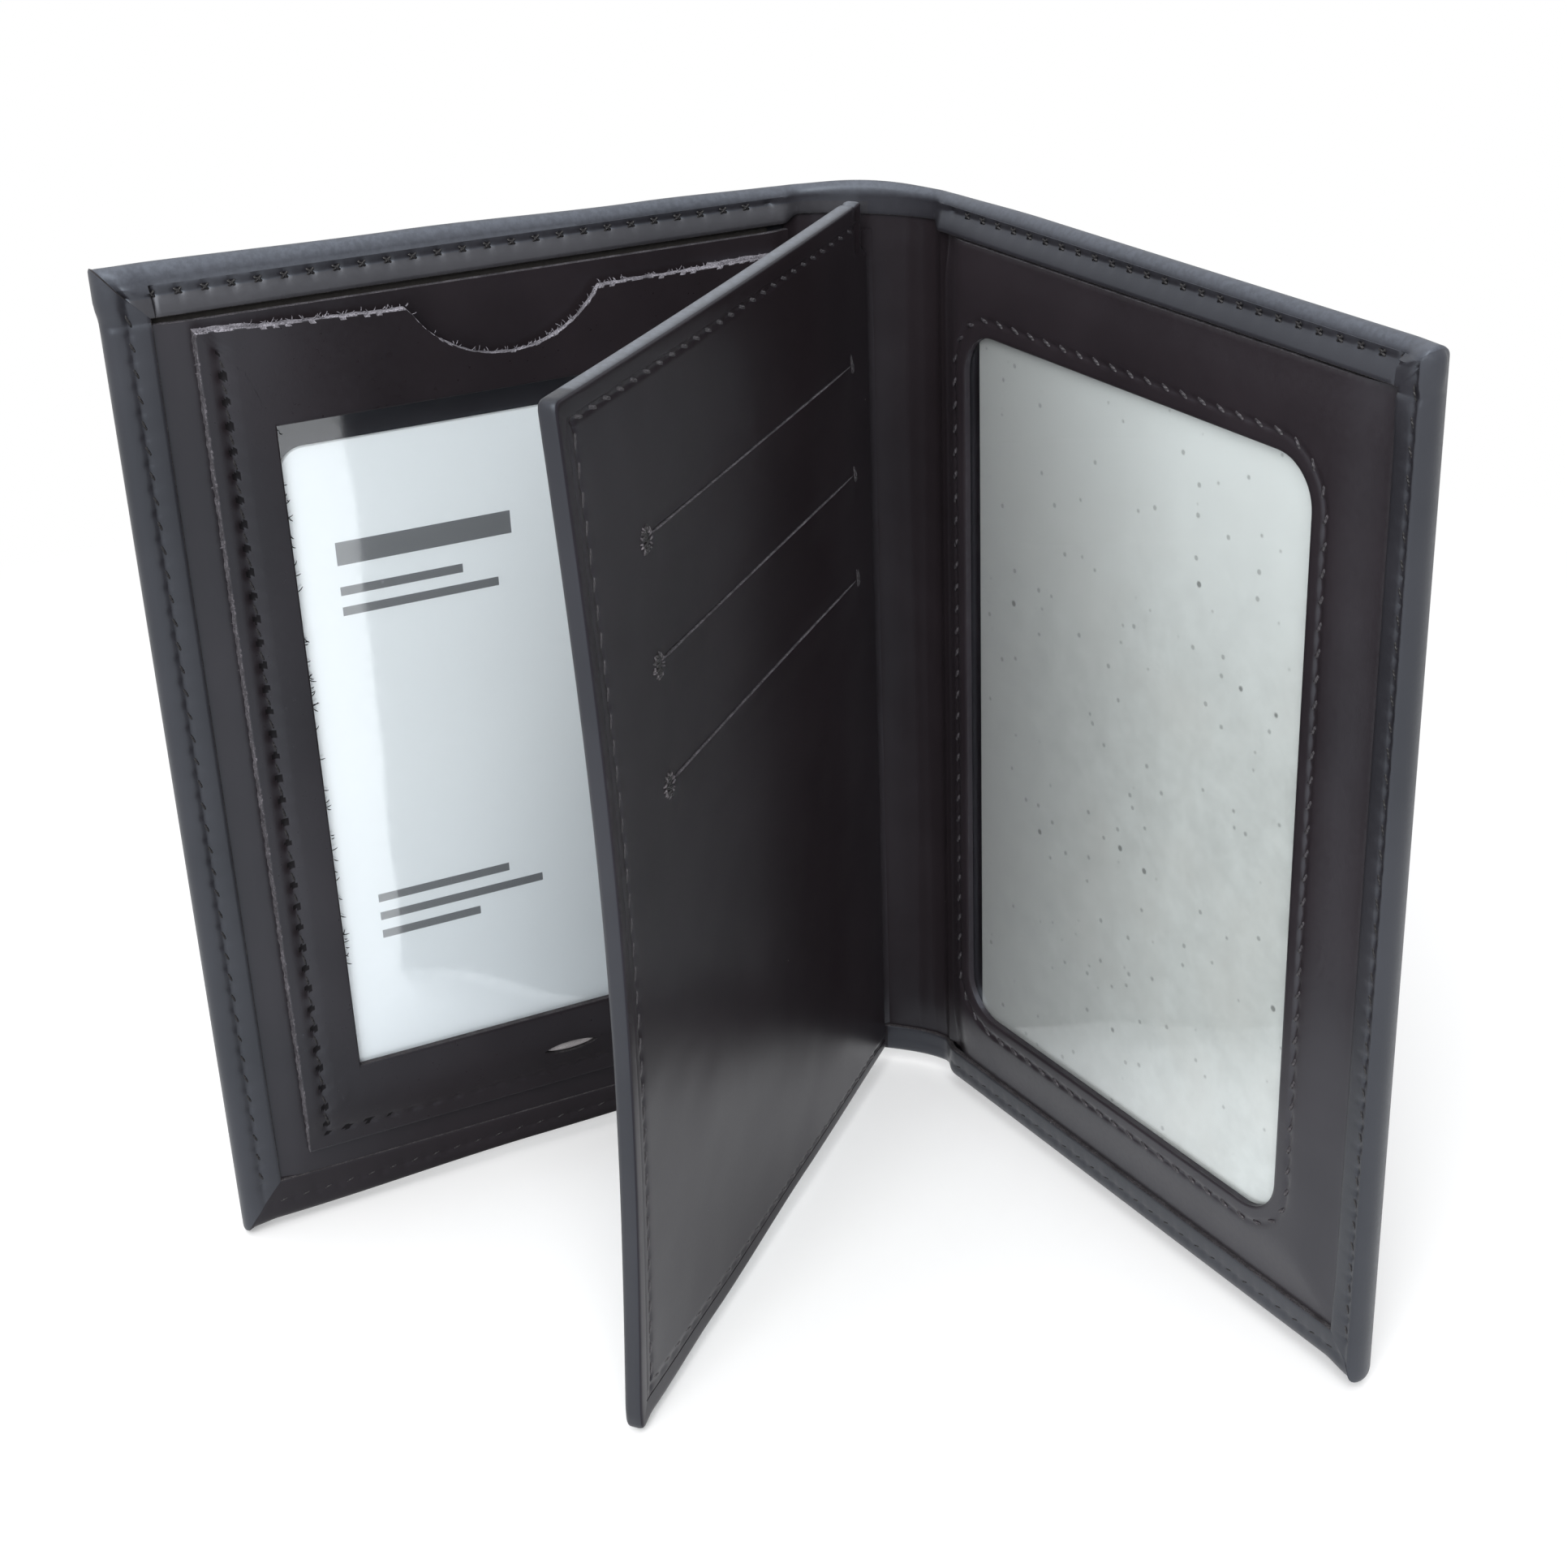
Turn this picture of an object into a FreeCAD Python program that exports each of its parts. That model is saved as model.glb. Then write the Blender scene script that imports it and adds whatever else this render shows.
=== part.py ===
import FreeCAD, Part
import math
import os

# Folding leather identity wallet, standing open. Sizes are in millimetres.
# World frame: +Z up, the spine runs along X, the wallet opens towards -Y.
# Each cover is drawn in its own frame: u runs out from the fold, t runs in from
# the outer leather face, z runs up from the standing edge.

# Overall sizes
cover_height = 125.0
cover_width = 85.5
spine_width = 17.4
cover_rest_deg = 48.8
leaf_rest_deg = 5.6

# Leather, board and film thicknesses
outer_thick = 1.0
board_thick = 0.6
hem_thick = 0.8
lining_thick = 0.8
panel_thick = 0.8
film_thick = 0.15
spine_lining_thick = 0.8

# Fold clearances
fold_clear = 0.3
inner_start = 2.2
lining_start = 2.4

# Turned hems of the covers
hem_width = 5.2
top_hem_width = 5.2
mouth_gap = 0.6
board_inset = 1.3
rim_round = 1.4
top_round = 1.1
spine_round = 0.8
spine_hem_width = 4.5
spine_lining_inset = 1.9

# Left cover: hidden pocket behind the lining, card pocket in front of it
hidden_pocket_depth = 0.9
hidden_pocket_margin = 3.0
hidden_pocket_inner_edge = 6.0
pocket_side_margin = 4.0
pocket_inner_edge = 4.2
pocket_foot_margin = 3.5
pocket_top_margin = 3.2
window_side_margin = 7.7
window_inner_margin = 11.3
window_foot_margin = 11.5
window_top_margin = 10.6
notch_radius = 13.56
notch_depth = 6.3
slot_drop = 5.8
slot_length = 7.5
slot_width = 1.3

# Identity card of the standard size
card_width = 54.0
card_tall = 85.6
card_thick = 0.76
card_corner = 3.18
card_side_hidden = 0.2
card_foot_hidden = 3.1
card_face_clear = 0.08
card_side_clear = 0.4
card_foot_clear = 0.1
film_margin = 1.6
film_side_clear = 0.2

# Right cover: window panel over a loose insert
right_window_left = 9.6
right_window_side_margin = 10.4
right_window_foot_margin = 9.1
right_window_top_margin = 10.6
right_window_corner = 5.5
right_panel_start = 4.6
insert_margin = 2.6
insert_edge_show = 1.7
insert_thick = 0.3
insert_face_clear = 0.1
insert_side_clear = 0.3
insert_foot_clear = 0.1
insert_bottom_margin = 3.3
insert_top_margin = 4.2
right_rim_step = 0.25

# Middle leaf
leaf_set_back = 2.1
leaf_bottom = 1.3
leaf_top_drop = 2.6
leaf_thick = 3.2
leaf_round = 1.5
leaf_sheet = 0.9
leaf_front_thick = 0.8
leaf_front_sink = 0.1
leaf_roll = 1.7
leaf_root_clear = 1.2
leaf_root_overlap = 0.8
leaf_closed_gap = 0.8
slit_count = 3
slit_first_drop = 18.6
slit_pitch = 14.05
slit_inner = 5.4
slit_side_margin = 14.2
slit_opening = 0.6
liner_thick = 0.2
liner_flange = 2.0
liner_flange_gap = 0.3
liner_side = 0.8
liner_depth = 81.0
liner_foot_gap = 5.0
strip_thick = 0.7
strip_bead_clear = 0.3
strip_end_gap = 2.0

# Stitches
stitch_pitch = 3.0
stitch_length = 2.2
stitch_width = 0.45
stitch_rise = 0.12
hem_stitch_inset = 2.7
pocket_stitch_inset = 2.5
pocket_stitch_pitch = 3.5
window_stitch_out = 2.1
leaf_stitch_inset = 1.1
stitch_corner_gap = 1.0
corner_stitches = 3
corner_stitch_deg = 20.0
tack_gap = 0.1
tack_width = 1.2
tack_height = 3.2
small_tack_width = 0.6
small_tack_height = 2.2

# Derived layer heights, measured in from the outer leather face
half_spine = spine_width / 2.0
axis_depth = outer_thick / 2.0
bead_radius = outer_thick / 2.0
cover_start = bead_radius + fold_clear
board_top = outer_thick + board_thick
hem_top = board_top + hem_thick
lining_back = board_top + hidden_pocket_depth
lining_front = lining_back + lining_thick
card_back = lining_front + card_face_clear
card_front = card_back + card_thick
film_back = card_front + card_face_clear
film_front = film_back + film_thick
pocket_front = film_front + panel_thick
hem_edge = cover_width - hem_width
top_hem_edge = cover_height - top_hem_width
insert_back = hem_top + stitch_rise + insert_face_clear
insert_front = insert_back + insert_thick
right_film_back = insert_front + insert_face_clear
right_film_front = right_film_back + film_thick
right_panel_front = right_film_front + panel_thick
right_rim = right_panel_front - right_rim_step
left_rim = lining_front
side_round = min(rim_round, 0.45 * min(left_rim, right_rim))
hem_round = min(top_round, 0.46 * hem_top)
pocket_left = hem_edge - pocket_side_margin
pocket_right = pocket_inner_edge
pocket_bottom = hem_width + pocket_foot_margin
pocket_top = top_hem_edge - pocket_top_margin
pocket_middle = (pocket_left + pocket_right) / 2.0
window_left = pocket_left - window_side_margin
window_right = pocket_right + window_inner_margin
window_bottom = pocket_bottom + window_foot_margin
window_top = pocket_top - window_top_margin
slot_height = window_bottom - slot_drop
card_outer_edge = window_left + card_side_hidden
card_inner_edge = card_outer_edge - card_width
card_bottom = window_bottom - card_foot_hidden
card_top = card_bottom + card_tall
right_window_right = hem_edge - right_window_side_margin
right_window_bottom = hem_width + right_window_foot_margin
right_window_top = top_hem_edge - right_window_top_margin
spine_inner_face = outer_thick + spine_lining_thick
spine_front = axis_depth - spine_inner_face
spine_edge_round = min(spine_round, 0.45 * spine_inner_face)
leaf_half = leaf_thick / 2.0
leaf_root_x = -half_spine + pocket_front + stitch_rise - axis_depth + leaf_closed_gap + leaf_half
leaf_root_y = spine_front - leaf_root_clear - leaf_root_overlap
leaf_width = cover_width + leaf_root_y - leaf_set_back
leaf_top = cover_height - leaf_top_drop
leaf_edge_round = min(leaf_round, 0.47 * leaf_thick)
leaf_back_inner = leaf_sheet - leaf_half
leaf_front_face = leaf_half - leaf_front_sink
leaf_front_back = leaf_front_face - leaf_front_thick
leaf_panel_edge = leaf_width - leaf_roll
leaf_panel_low = leaf_bottom + leaf_roll
leaf_panel_high = leaf_top - leaf_roll
slit_outer = leaf_panel_edge - slit_side_margin
slit_heights = [leaf_top - slit_first_drop - slit_pitch * k for k in range(slit_count)]
liner_gap = (leaf_front_back - leaf_back_inner - slit_count * liner_thick) / (slit_count + 1)
strip_bead = min(leaf_front_back, -leaf_back_inner) - strip_bead_clear
through = 2.0 * cover_height


def vec(x, y, z):
    return FreeCAD.Vector(x, y, z)


def block(u0, u1, t0, t1, z0, z1):
    corner = vec(u0, t0 - axis_depth, z0)
    return Part.makeBox(u1 - u0, t1 - t0, z1 - z0, corner)


def rounded_loop(corners):
    # corners: (x, y, radius); returns line and arc pieces as plane coordinates
    pieces = []
    count = len(corners)
    cuts = []
    for i in range(count):
        px, py, pr = corners[i - 1]
        x, y, r = corners[i]
        nx, ny, nr = corners[(i + 1) % count]
        if r <= 0.0:
            cuts.append(((x, y), None, (x, y)))
            continue
        ax, ay = px - x, py - y
        bx, by = nx - x, ny - y
        al = math.hypot(ax, ay)
        bl = math.hypot(bx, by)
        ax, ay, bx, by = ax / al, ay / al, bx / bl, by / bl
        half = 0.5 * math.acos(max(-1.0, min(1.0, ax * bx + ay * by)))
        back = r / math.tan(half)
        reach = r / math.sin(half)
        mx, my = ax + bx, ay + by
        ml = math.hypot(mx, my)
        mx, my = mx / ml, my / ml
        mid = (x + mx * (reach - r), y + my * (reach - r))
        cuts.append(((x + ax * back, y + ay * back), mid, (x + bx * back, y + by * back)))
    for i in range(count):
        start, mid, end = cuts[i]
        if mid is not None:
            pieces.append((start, mid, end))
        pieces.append((end, None, cuts[(i + 1) % count][0]))
    return pieces


def prism(corners, to_point, run):
    # A closed rounded outline mapped into space by to_point, then extruded by run
    edges = []
    for start, mid, end in rounded_loop(corners):
        a = to_point(start[0], start[1])
        b = to_point(end[0], end[1])
        if mid is None:
            edges.append(Part.LineSegment(a, b).toShape())
        else:
            edges.append(Part.Arc(a, to_point(mid[0], mid[1]), b).toShape())
    face = Part.Face(Part.Wire(edges))
    return face.extrude(run)


def plan_prism(corners, z0, z1):
    return prism(corners, lambda u, t: vec(u, t - axis_depth, z0), vec(0, 0, z1 - z0))


def side_prism(corners, u0, u1):
    return prism(corners, lambda t, z: vec(u0, t - axis_depth, z), vec(u1 - u0, 0, 0))


def face_prism(corners, t0, t1):
    return prism(corners, lambda u, z: vec(u, t0 - axis_depth, z), vec(0, t1 - t0, 0))


def rounded_rectangle(u0, u1, z0, z1, r):
    return [(u0, z0, r), (u1, z0, r), (u1, z1, r), (u0, z1, r)]


def face_cylinder(radius, u, z):
    # A long cylinder across the layers, used as a cutting tool
    return Part.makeCylinder(radius, 2.0 * through, vec(u, -through, z), vec(0, 1, 0))


def stitch_along_u(u0, u1, z, t, pitch):
    count = max(1, int(round((u1 - u0) / pitch)))
    step = (u1 - u0) / count
    row = []
    for i in range(count):
        mid = u0 + step * (i + 0.5)
        row.append(block(mid - stitch_length / 2, mid + stitch_length / 2, t, t + stitch_rise,
                         z - stitch_width / 2, z + stitch_width / 2))
    return row


def stitch_along_z(z0, z1, u, t, pitch):
    count = max(1, int(round((z1 - z0) / pitch)))
    step = (z1 - z0) / count
    row = []
    for i in range(count):
        mid = z0 + step * (i + 0.5)
        row.append(block(u - stitch_width / 2, u + stitch_width / 2, t, t + stitch_rise,
                         mid - stitch_length / 2, mid + stitch_length / 2))
    return row


def cover_outer(rim):
    # Outer leather turned over the board along the top, the free side and the foot
    plan = [(cover_start, 0.0, 0.0), (cover_width, 0.0, side_round), (cover_width, rim, side_round),
            (inner_start, rim, 0.0), (inner_start, outer_thick, 0.0), (cover_start, outer_thick, 0.0)]
    side = [(0.0, 0.0, side_round), (rim, 0.0, side_round), (rim, top_hem_edge, 0.0),
            (hem_top, top_hem_edge, 0.0), (hem_top, cover_height, hem_round), (0.0, cover_height, hem_round)]
    body = plan_prism(plan, 0.0, cover_height).common(side_prism(side, 0.0, 2.0 * cover_width))
    body = body.cut(block(0.0, cover_width - board_inset, outer_thick, board_top,
                          board_inset, cover_height - board_inset))
    return body.cut(block(0.0, hem_edge, board_top, through, hem_width, top_hem_edge))


def cover_board():
    return block(inner_start, cover_width - board_inset, outer_thick, board_top,
                 board_inset, cover_height - board_inset)


def hem_thread(rim):
    side_u = cover_width - hem_stitch_inset
    top_z = cover_height - hem_stitch_inset
    first = inner_start + stitch_pitch
    row = stitch_along_z(hem_width, top_hem_edge - stitch_corner_gap, side_u, rim, stitch_pitch)
    row += stitch_along_u(first, side_u, top_z, hem_top, stitch_pitch)
    row += stitch_along_u(first, side_u - stitch_corner_gap, hem_stitch_inset, rim, stitch_pitch)
    return Part.makeCompound(row)


# Left cover pieces
left_cover_outer = cover_outer(left_rim)
left_board = cover_board()
left_lining = block(lining_start, hem_edge, board_top, lining_front, hem_width, top_hem_edge - mouth_gap)
left_lining = left_lining.cut(block(hidden_pocket_inner_edge, hem_edge - hidden_pocket_margin,
                                    board_top, lining_back, hem_width + hidden_pocket_margin, through))
left_hem_thread = hem_thread(left_rim)

left_pocket_panel = block(pocket_right, pocket_left, lining_front, pocket_front, pocket_bottom, pocket_top)
left_pocket_panel = left_pocket_panel.cut(
    block(card_inner_edge - card_side_clear, card_outer_edge + card_side_clear, lining_front, film_front,
          card_bottom - card_foot_clear, through))
left_pocket_panel = left_pocket_panel.cut(
    block(window_right, window_left, 0.0, through, window_bottom, window_top))
notch_axis_z = pocket_top - notch_depth + notch_radius
left_pocket_panel = left_pocket_panel.cut(face_cylinder(notch_radius, pocket_middle, notch_axis_z))
slot_half = slot_length / 2.0
slot_rise = slot_width / 2.0
slot_arc = (slot_half ** 2 + slot_rise ** 2) / (2.0 * slot_rise)
slot_reach = slot_arc - slot_rise
slot_low = face_cylinder(slot_arc, pocket_middle, slot_height + slot_reach)
slot_high = face_cylinder(slot_arc, pocket_middle, slot_height - slot_reach)
left_pocket_panel = left_pocket_panel.cut(slot_low.common(slot_high))
left_window_film = block(card_inner_edge - card_side_clear + film_side_clear,
                         card_outer_edge + card_side_clear - film_side_clear, film_back, film_front,
                         window_bottom - film_margin, window_top + film_margin)
id_card = face_prism(rounded_rectangle(card_inner_edge, card_outer_edge, card_bottom, card_top, card_corner),
                     card_back, card_front)
pocket_row_foot = pocket_bottom + pocket_stitch_inset
pocket_row_left = pocket_left - pocket_stitch_inset
pocket_row_right = pocket_right + pocket_stitch_inset
pocket_rows = []
for row_u in (pocket_row_left, pocket_row_right):
    pocket_rows += stitch_along_z(pocket_row_foot + stitch_corner_gap, pocket_top - stitch_corner_gap, row_u,
                                  pocket_front, pocket_stitch_pitch)
pocket_rows += stitch_along_u(pocket_row_right, pocket_row_left, pocket_row_foot, pocket_front,
                              pocket_stitch_pitch)
left_pocket_thread = Part.makeCompound(pocket_rows)

# Right cover pieces, drawn like a left cover and mirrored when placed
right_cover_outer = cover_outer(right_rim)
right_board = cover_board()
right_lining = block(lining_start, hem_edge, board_top, hem_top, hem_width, top_hem_edge)
right_film_left = right_window_left - insert_margin
insert_left = right_window_left + insert_edge_show
insert_right = right_window_right + insert_margin
insert_bottom = right_window_bottom - insert_bottom_margin
insert_top = right_window_top + insert_top_margin
right_window_panel = block(right_panel_start, hem_edge, hem_top, right_panel_front,
                           hem_width, top_hem_edge - mouth_gap)
right_window_panel = right_window_panel.cut(
    block(right_film_left - insert_side_clear, insert_right + insert_side_clear, hem_top, right_film_front,
          insert_bottom - insert_foot_clear, through))
right_window_panel = right_window_panel.cut(
    face_prism(rounded_rectangle(right_window_left, right_window_right, right_window_bottom, right_window_top,
                                 right_window_corner), 0.0, through))
right_window_film = block(right_film_left, insert_right, right_film_back, right_film_front,
                          insert_bottom, insert_top)
right_insert = block(insert_left, insert_right, insert_back, insert_front, insert_bottom, insert_top)
right_hem_thread = hem_thread(right_rim)
ring_left = right_window_left - window_stitch_out
ring_right = right_window_right + window_stitch_out
ring_bottom = right_window_bottom - window_stitch_out
ring_top = right_window_top + window_stitch_out
corner_arc = right_window_corner + window_stitch_out
ring_rows = []
for row_z in (ring_bottom, ring_top):
    ring_rows += stitch_along_u(ring_left + corner_arc, ring_right - corner_arc, row_z,
                                right_panel_front, stitch_pitch)
for row_u in (ring_left, ring_right):
    ring_rows += stitch_along_z(ring_bottom + corner_arc, ring_top - corner_arc, row_u,
                                right_panel_front, stitch_pitch)
for cu, cz, start_deg in ((ring_right - corner_arc, ring_top - corner_arc, 0.0),
                          (ring_left + corner_arc, ring_top - corner_arc, 90.0),
                          (ring_left + corner_arc, ring_bottom + corner_arc, 180.0),
                          (ring_right - corner_arc, ring_bottom + corner_arc, 270.0)):
    for k in range(corner_stitches):
        turn = start_deg + 45.0 + corner_stitch_deg * (k - (corner_stitches - 1) / 2.0)
        bit = block(-stitch_width / 2, stitch_width / 2, right_panel_front, right_panel_front + stitch_rise,
                    -stitch_length / 2, stitch_length / 2)
        bit.rotate(vec(0, 0, 0), vec(0, 1, 0), -turn)
        bit.translate(vec(cu + corner_arc * math.cos(math.radians(turn)), 0.0,
                          cz + corner_arc * math.sin(math.radians(turn))))
        ring_rows.append(bit)
right_window_thread = Part.makeCompound(ring_rows)


# Middle leaf pieces: u runs out from the leaf's own fold axis, t is centred on the leaf
def leaf_block(u0, u1, t0, t1, z0, z1):
    return Part.makeBox(u1 - u0, t1 - t0, z1 - z0, vec(u0, t0, z0))


leaf_plan = [(-leaf_root_overlap, -leaf_half, 0.0), (leaf_width, -leaf_half, leaf_edge_round),
             (leaf_width, leaf_half, leaf_edge_round), (-leaf_root_overlap, leaf_half, 0.0)]
leaf_side = [(-leaf_half, leaf_bottom, leaf_edge_round), (leaf_half, leaf_bottom, leaf_edge_round),
             (leaf_half, leaf_top, leaf_edge_round), (-leaf_half, leaf_top, leaf_edge_round)]
leaf_wrap = prism(leaf_plan, lambda u, t: vec(u, t, 0.0), vec(0, 0, cover_height))
leaf_wrap = leaf_wrap.common(prism(leaf_side, lambda t, z: vec(-through, t, z), vec(2.0 * through, 0, 0)))
leaf_wrap = leaf_wrap.cut(leaf_block(-through, leaf_panel_edge, leaf_back_inner, through,
                                     leaf_panel_low, leaf_panel_high))
leaf_front_panel = leaf_block(-leaf_root_overlap, leaf_panel_edge, leaf_front_back, leaf_front_face,
                              leaf_panel_low, leaf_panel_high)
for slit_z in slit_heights:
    leaf_front_panel = leaf_front_panel.cut(
        leaf_block(slit_inner, slit_outer, -through, through,
                   slit_z - slit_opening / 2, slit_z + slit_opening / 2))
liners = []
for order in range(slit_count):
    liner_t = leaf_back_inner + liner_gap + (liner_gap + liner_thick) * order
    lip = slit_heights[order] - slit_opening / 2 - liner_flange_gap
    liner_foot = max(lip - liner_depth, leaf_panel_low + liner_foot_gap)
    sheet = leaf_block(slit_inner - liner_side, slit_outer + liner_side, liner_t, liner_t + liner_thick,
                       liner_foot, lip)
    flange = leaf_block(slit_inner - liner_side, slit_outer + liner_side, liner_t, leaf_front_back,
                        lip - liner_flange, lip)
    liners.append(sheet.fuse(flange).removeSplitter())
stitch_face = leaf_front_face + axis_depth
leaf_row_low = leaf_panel_low + leaf_stitch_inset
leaf_row_high = leaf_panel_high - leaf_stitch_inset
leaf_row_side = leaf_panel_edge - leaf_stitch_inset
leaf_rows = stitch_along_z(leaf_row_low + stitch_corner_gap, leaf_row_high - stitch_corner_gap, leaf_row_side,
                           stitch_face, stitch_pitch)
for row_z in (leaf_row_low, leaf_row_high):
    leaf_rows += stitch_along_u(stitch_pitch, leaf_row_side, row_z, stitch_face, stitch_pitch)
leaf_edge_thread = Part.makeCompound(leaf_rows)
tacks = []
for slit_z in slit_heights:
    tacks.append(leaf_block(slit_outer + tack_gap, slit_outer + tack_gap + tack_width, leaf_front_face,
                            leaf_front_face + stitch_rise,
                            slit_z - tack_height / 2, slit_z + tack_height / 2))
    tacks.append(leaf_block(slit_inner - tack_gap - small_tack_width, slit_inner - tack_gap, leaf_front_face,
                            leaf_front_face + stitch_rise,
                            slit_z - small_tack_height / 2, slit_z + small_tack_height / 2))
leaf_slit_tacks = Part.makeCompound(tacks)

# Spine pieces, drawn straight in the world frame: depth t becomes y = axis_depth - t
band_half = half_spine - spine_lining_inset
sheet_edges = [
    Part.LineSegment(vec(-half_spine, axis_depth, 0), vec(half_spine, axis_depth, 0)).toShape(),
    Part.Arc(vec(half_spine, axis_depth, 0), vec(half_spine + bead_radius, 0, 0),
             vec(half_spine, -axis_depth, 0)).toShape(),
    Part.LineSegment(vec(half_spine, -axis_depth, 0), vec(-half_spine, -axis_depth, 0)).toShape(),
    Part.Arc(vec(-half_spine, -axis_depth, 0), vec(-half_spine - bead_radius, 0, 0),
             vec(-half_spine, axis_depth, 0)).toShape(),
]
spine_sheet = Part.Face(Part.Wire(sheet_edges)).extrude(vec(0, 0, cover_height))
spine_band = Part.makeBox(2.0 * band_half, spine_lining_thick, cover_height,
                          vec(-band_half, spine_front, 0))
spine_outer = spine_sheet.fuse(spine_band)
spine_side = [(spine_front, 0.0, spine_edge_round), (axis_depth, 0.0, spine_edge_round),
              (axis_depth, cover_height, spine_edge_round), (spine_front, cover_height, spine_edge_round)]
spine_outer = spine_outer.common(prism(spine_side, lambda y, z: vec(-spine_width, y, z),
                                       vec(2.0 * spine_width, 0, 0)))
spine_lining = Part.makeBox(2.0 * band_half, spine_lining_thick, cover_height - 2.0 * spine_hem_width,
                            vec(-band_half, spine_front, spine_hem_width))
spine_outer = spine_outer.cut(spine_lining).removeSplitter()
strip_low = leaf_panel_low + strip_end_gap
strip_high = leaf_panel_high - strip_end_gap
leaf_hinge_strip = Part.makeBox(strip_thick, spine_front - leaf_root_y, strip_high - strip_low,
                                vec(leaf_root_x - strip_thick / 2, leaf_root_y, strip_low))
strip_root = Part.makeCylinder(strip_bead, strip_high - strip_low,
                               vec(leaf_root_x, leaf_root_y, strip_low), vec(0, 0, 1))
leaf_hinge_strip = leaf_hinge_strip.fuse(strip_root).removeSplitter()


def place_left(shape):
    done = shape.copy()
    done.rotate(vec(0, 0, 0), vec(0, 0, 1), -(90.0 + cover_rest_deg))
    done.translate(vec(-half_spine, 0, 0))
    return done


def place_right(shape):
    return place_left(shape).mirror(vec(0, 0, 0), vec(1, 0, 0))


def place_leaf(shape):
    done = shape.copy()
    done.rotate(vec(0, 0, 0), vec(0, 0, 1), -(90.0 + leaf_rest_deg))
    done.translate(vec(leaf_root_x, leaf_root_y, 0))
    return done


pieces = {
    "spine_outer": spine_outer,
    "spine_lining": spine_lining,
    "leaf_hinge_strip": leaf_hinge_strip,
    "left_cover_outer": place_left(left_cover_outer),
    "left_board": place_left(left_board),
    "left_lining": place_left(left_lining),
    "left_pocket_panel": place_left(left_pocket_panel),
    "left_window_film": place_left(left_window_film),
    "left_hem_thread": place_left(left_hem_thread),
    "left_pocket_thread": place_left(left_pocket_thread),
    "id_card": place_left(id_card),
    "right_cover_outer": place_right(right_cover_outer),
    "right_board": place_right(right_board),
    "right_lining": place_right(right_lining),
    "right_window_panel": place_right(right_window_panel),
    "right_window_film": place_right(right_window_film),
    "right_insert": place_right(right_insert),
    "right_hem_thread": place_right(right_hem_thread),
    "right_window_thread": place_right(right_window_thread),
    "leaf_wrap": place_leaf(leaf_wrap),
    "leaf_front_panel": place_leaf(leaf_front_panel),
    "leaf_liner_top": place_leaf(liners[0]),
    "leaf_liner_middle": place_leaf(liners[1]),
    "leaf_liner_bottom": place_leaf(liners[2]),
    "leaf_edge_thread": place_leaf(leaf_edge_thread),
    "leaf_slit_tacks": place_leaf(leaf_slit_tacks),
}

# Origin at the bottom centre of the whole wallet in its stored pose
whole = Part.makeCompound(list(pieces.values())).optimalBoundingBox(False, False)
shift = vec(-(whole.XMin + whole.XMax) / 2.0, -(whole.YMin + whole.YMax) / 2.0, -whole.ZMin)
os.makedirs("parts", exist_ok=True)
for name, shape in pieces.items():
    shape.translate(shift)
    shape.exportStep("parts/" + name + ".step")
    print(name, "solids", len(shape.Solids), "volume", round(shape.Volume, 2), "valid", shape.isValid())
print("shift", shift.x, shift.y, shift.z)
print("size", whole.XLength, whole.YLength, whole.ZLength)
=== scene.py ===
import math
import random
from contextlib import contextmanager

import bmesh
import bpy
from mathutils import Matrix, Vector


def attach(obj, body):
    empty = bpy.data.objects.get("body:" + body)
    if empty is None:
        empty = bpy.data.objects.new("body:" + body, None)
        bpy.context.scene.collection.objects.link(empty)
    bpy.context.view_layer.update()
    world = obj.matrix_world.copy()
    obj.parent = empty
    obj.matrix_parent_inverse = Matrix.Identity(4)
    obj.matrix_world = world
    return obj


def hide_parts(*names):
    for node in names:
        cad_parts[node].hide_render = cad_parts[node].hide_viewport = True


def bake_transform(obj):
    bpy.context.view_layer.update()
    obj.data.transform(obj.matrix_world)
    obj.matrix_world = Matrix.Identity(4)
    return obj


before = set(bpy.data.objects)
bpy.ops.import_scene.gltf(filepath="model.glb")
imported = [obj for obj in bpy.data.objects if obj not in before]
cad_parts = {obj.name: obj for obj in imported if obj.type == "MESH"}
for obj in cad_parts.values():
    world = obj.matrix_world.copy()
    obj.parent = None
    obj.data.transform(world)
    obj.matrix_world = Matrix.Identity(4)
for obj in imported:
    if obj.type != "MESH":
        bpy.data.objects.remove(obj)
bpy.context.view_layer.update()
mm = 0.001
scene = bpy.context.scene

# the wallet as it stands, in millimetres
wallet = {
    "height": 125.0,
    "coverWidth": 85.5,
    "halfSpine": 8.7,
    "foldY": 41.2673,
    "turn": math.radians(41.2),   # how far each cover leans in from flat
    "bend": 5.0,                  # how far the soft fold runs into the cover
    "bulge": 0.5,                 # the spine stands out a little
    "pull": (6.0, 4.5),           # how long the spine and the cover stay straight
    "hinge": 3.2,                 # half the width that bends when a cover turns
    "neutral": 0.5,               # depth of the fold axis in the leather
    "seed": 11,
}
random.seed(wallet["seed"])
coverEdge = wallet["halfSpine"] + wallet["coverWidth"]
tall = wallet["height"]


def ease(v):
    v = max(0.0, min(1.0, v))
    return v * v * (3.0 - 2.0 * v)


def mixed(a, b, f):
    return a + (b - a) * f


def bump(v, width):
    return math.exp(-(v / width) ** 2)


def pinchAt(s, first, last, count, spread=0.45):
    # 1 at a needle hole, 0 between the holes
    step = (last - first) / count
    nearest = max(0, min(count, round((s - first) / step)))
    return bump(s - first - nearest * step, spread)


def lookUp(table, s):
    # a smooth run through a few (place, value) pairs
    for (a, low), (b, high) in zip(table, table[1:]):
        if s <= b:
            return mixed(low, high, ease((s - a) / (b - a)))
    return table[-1][1]


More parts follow.
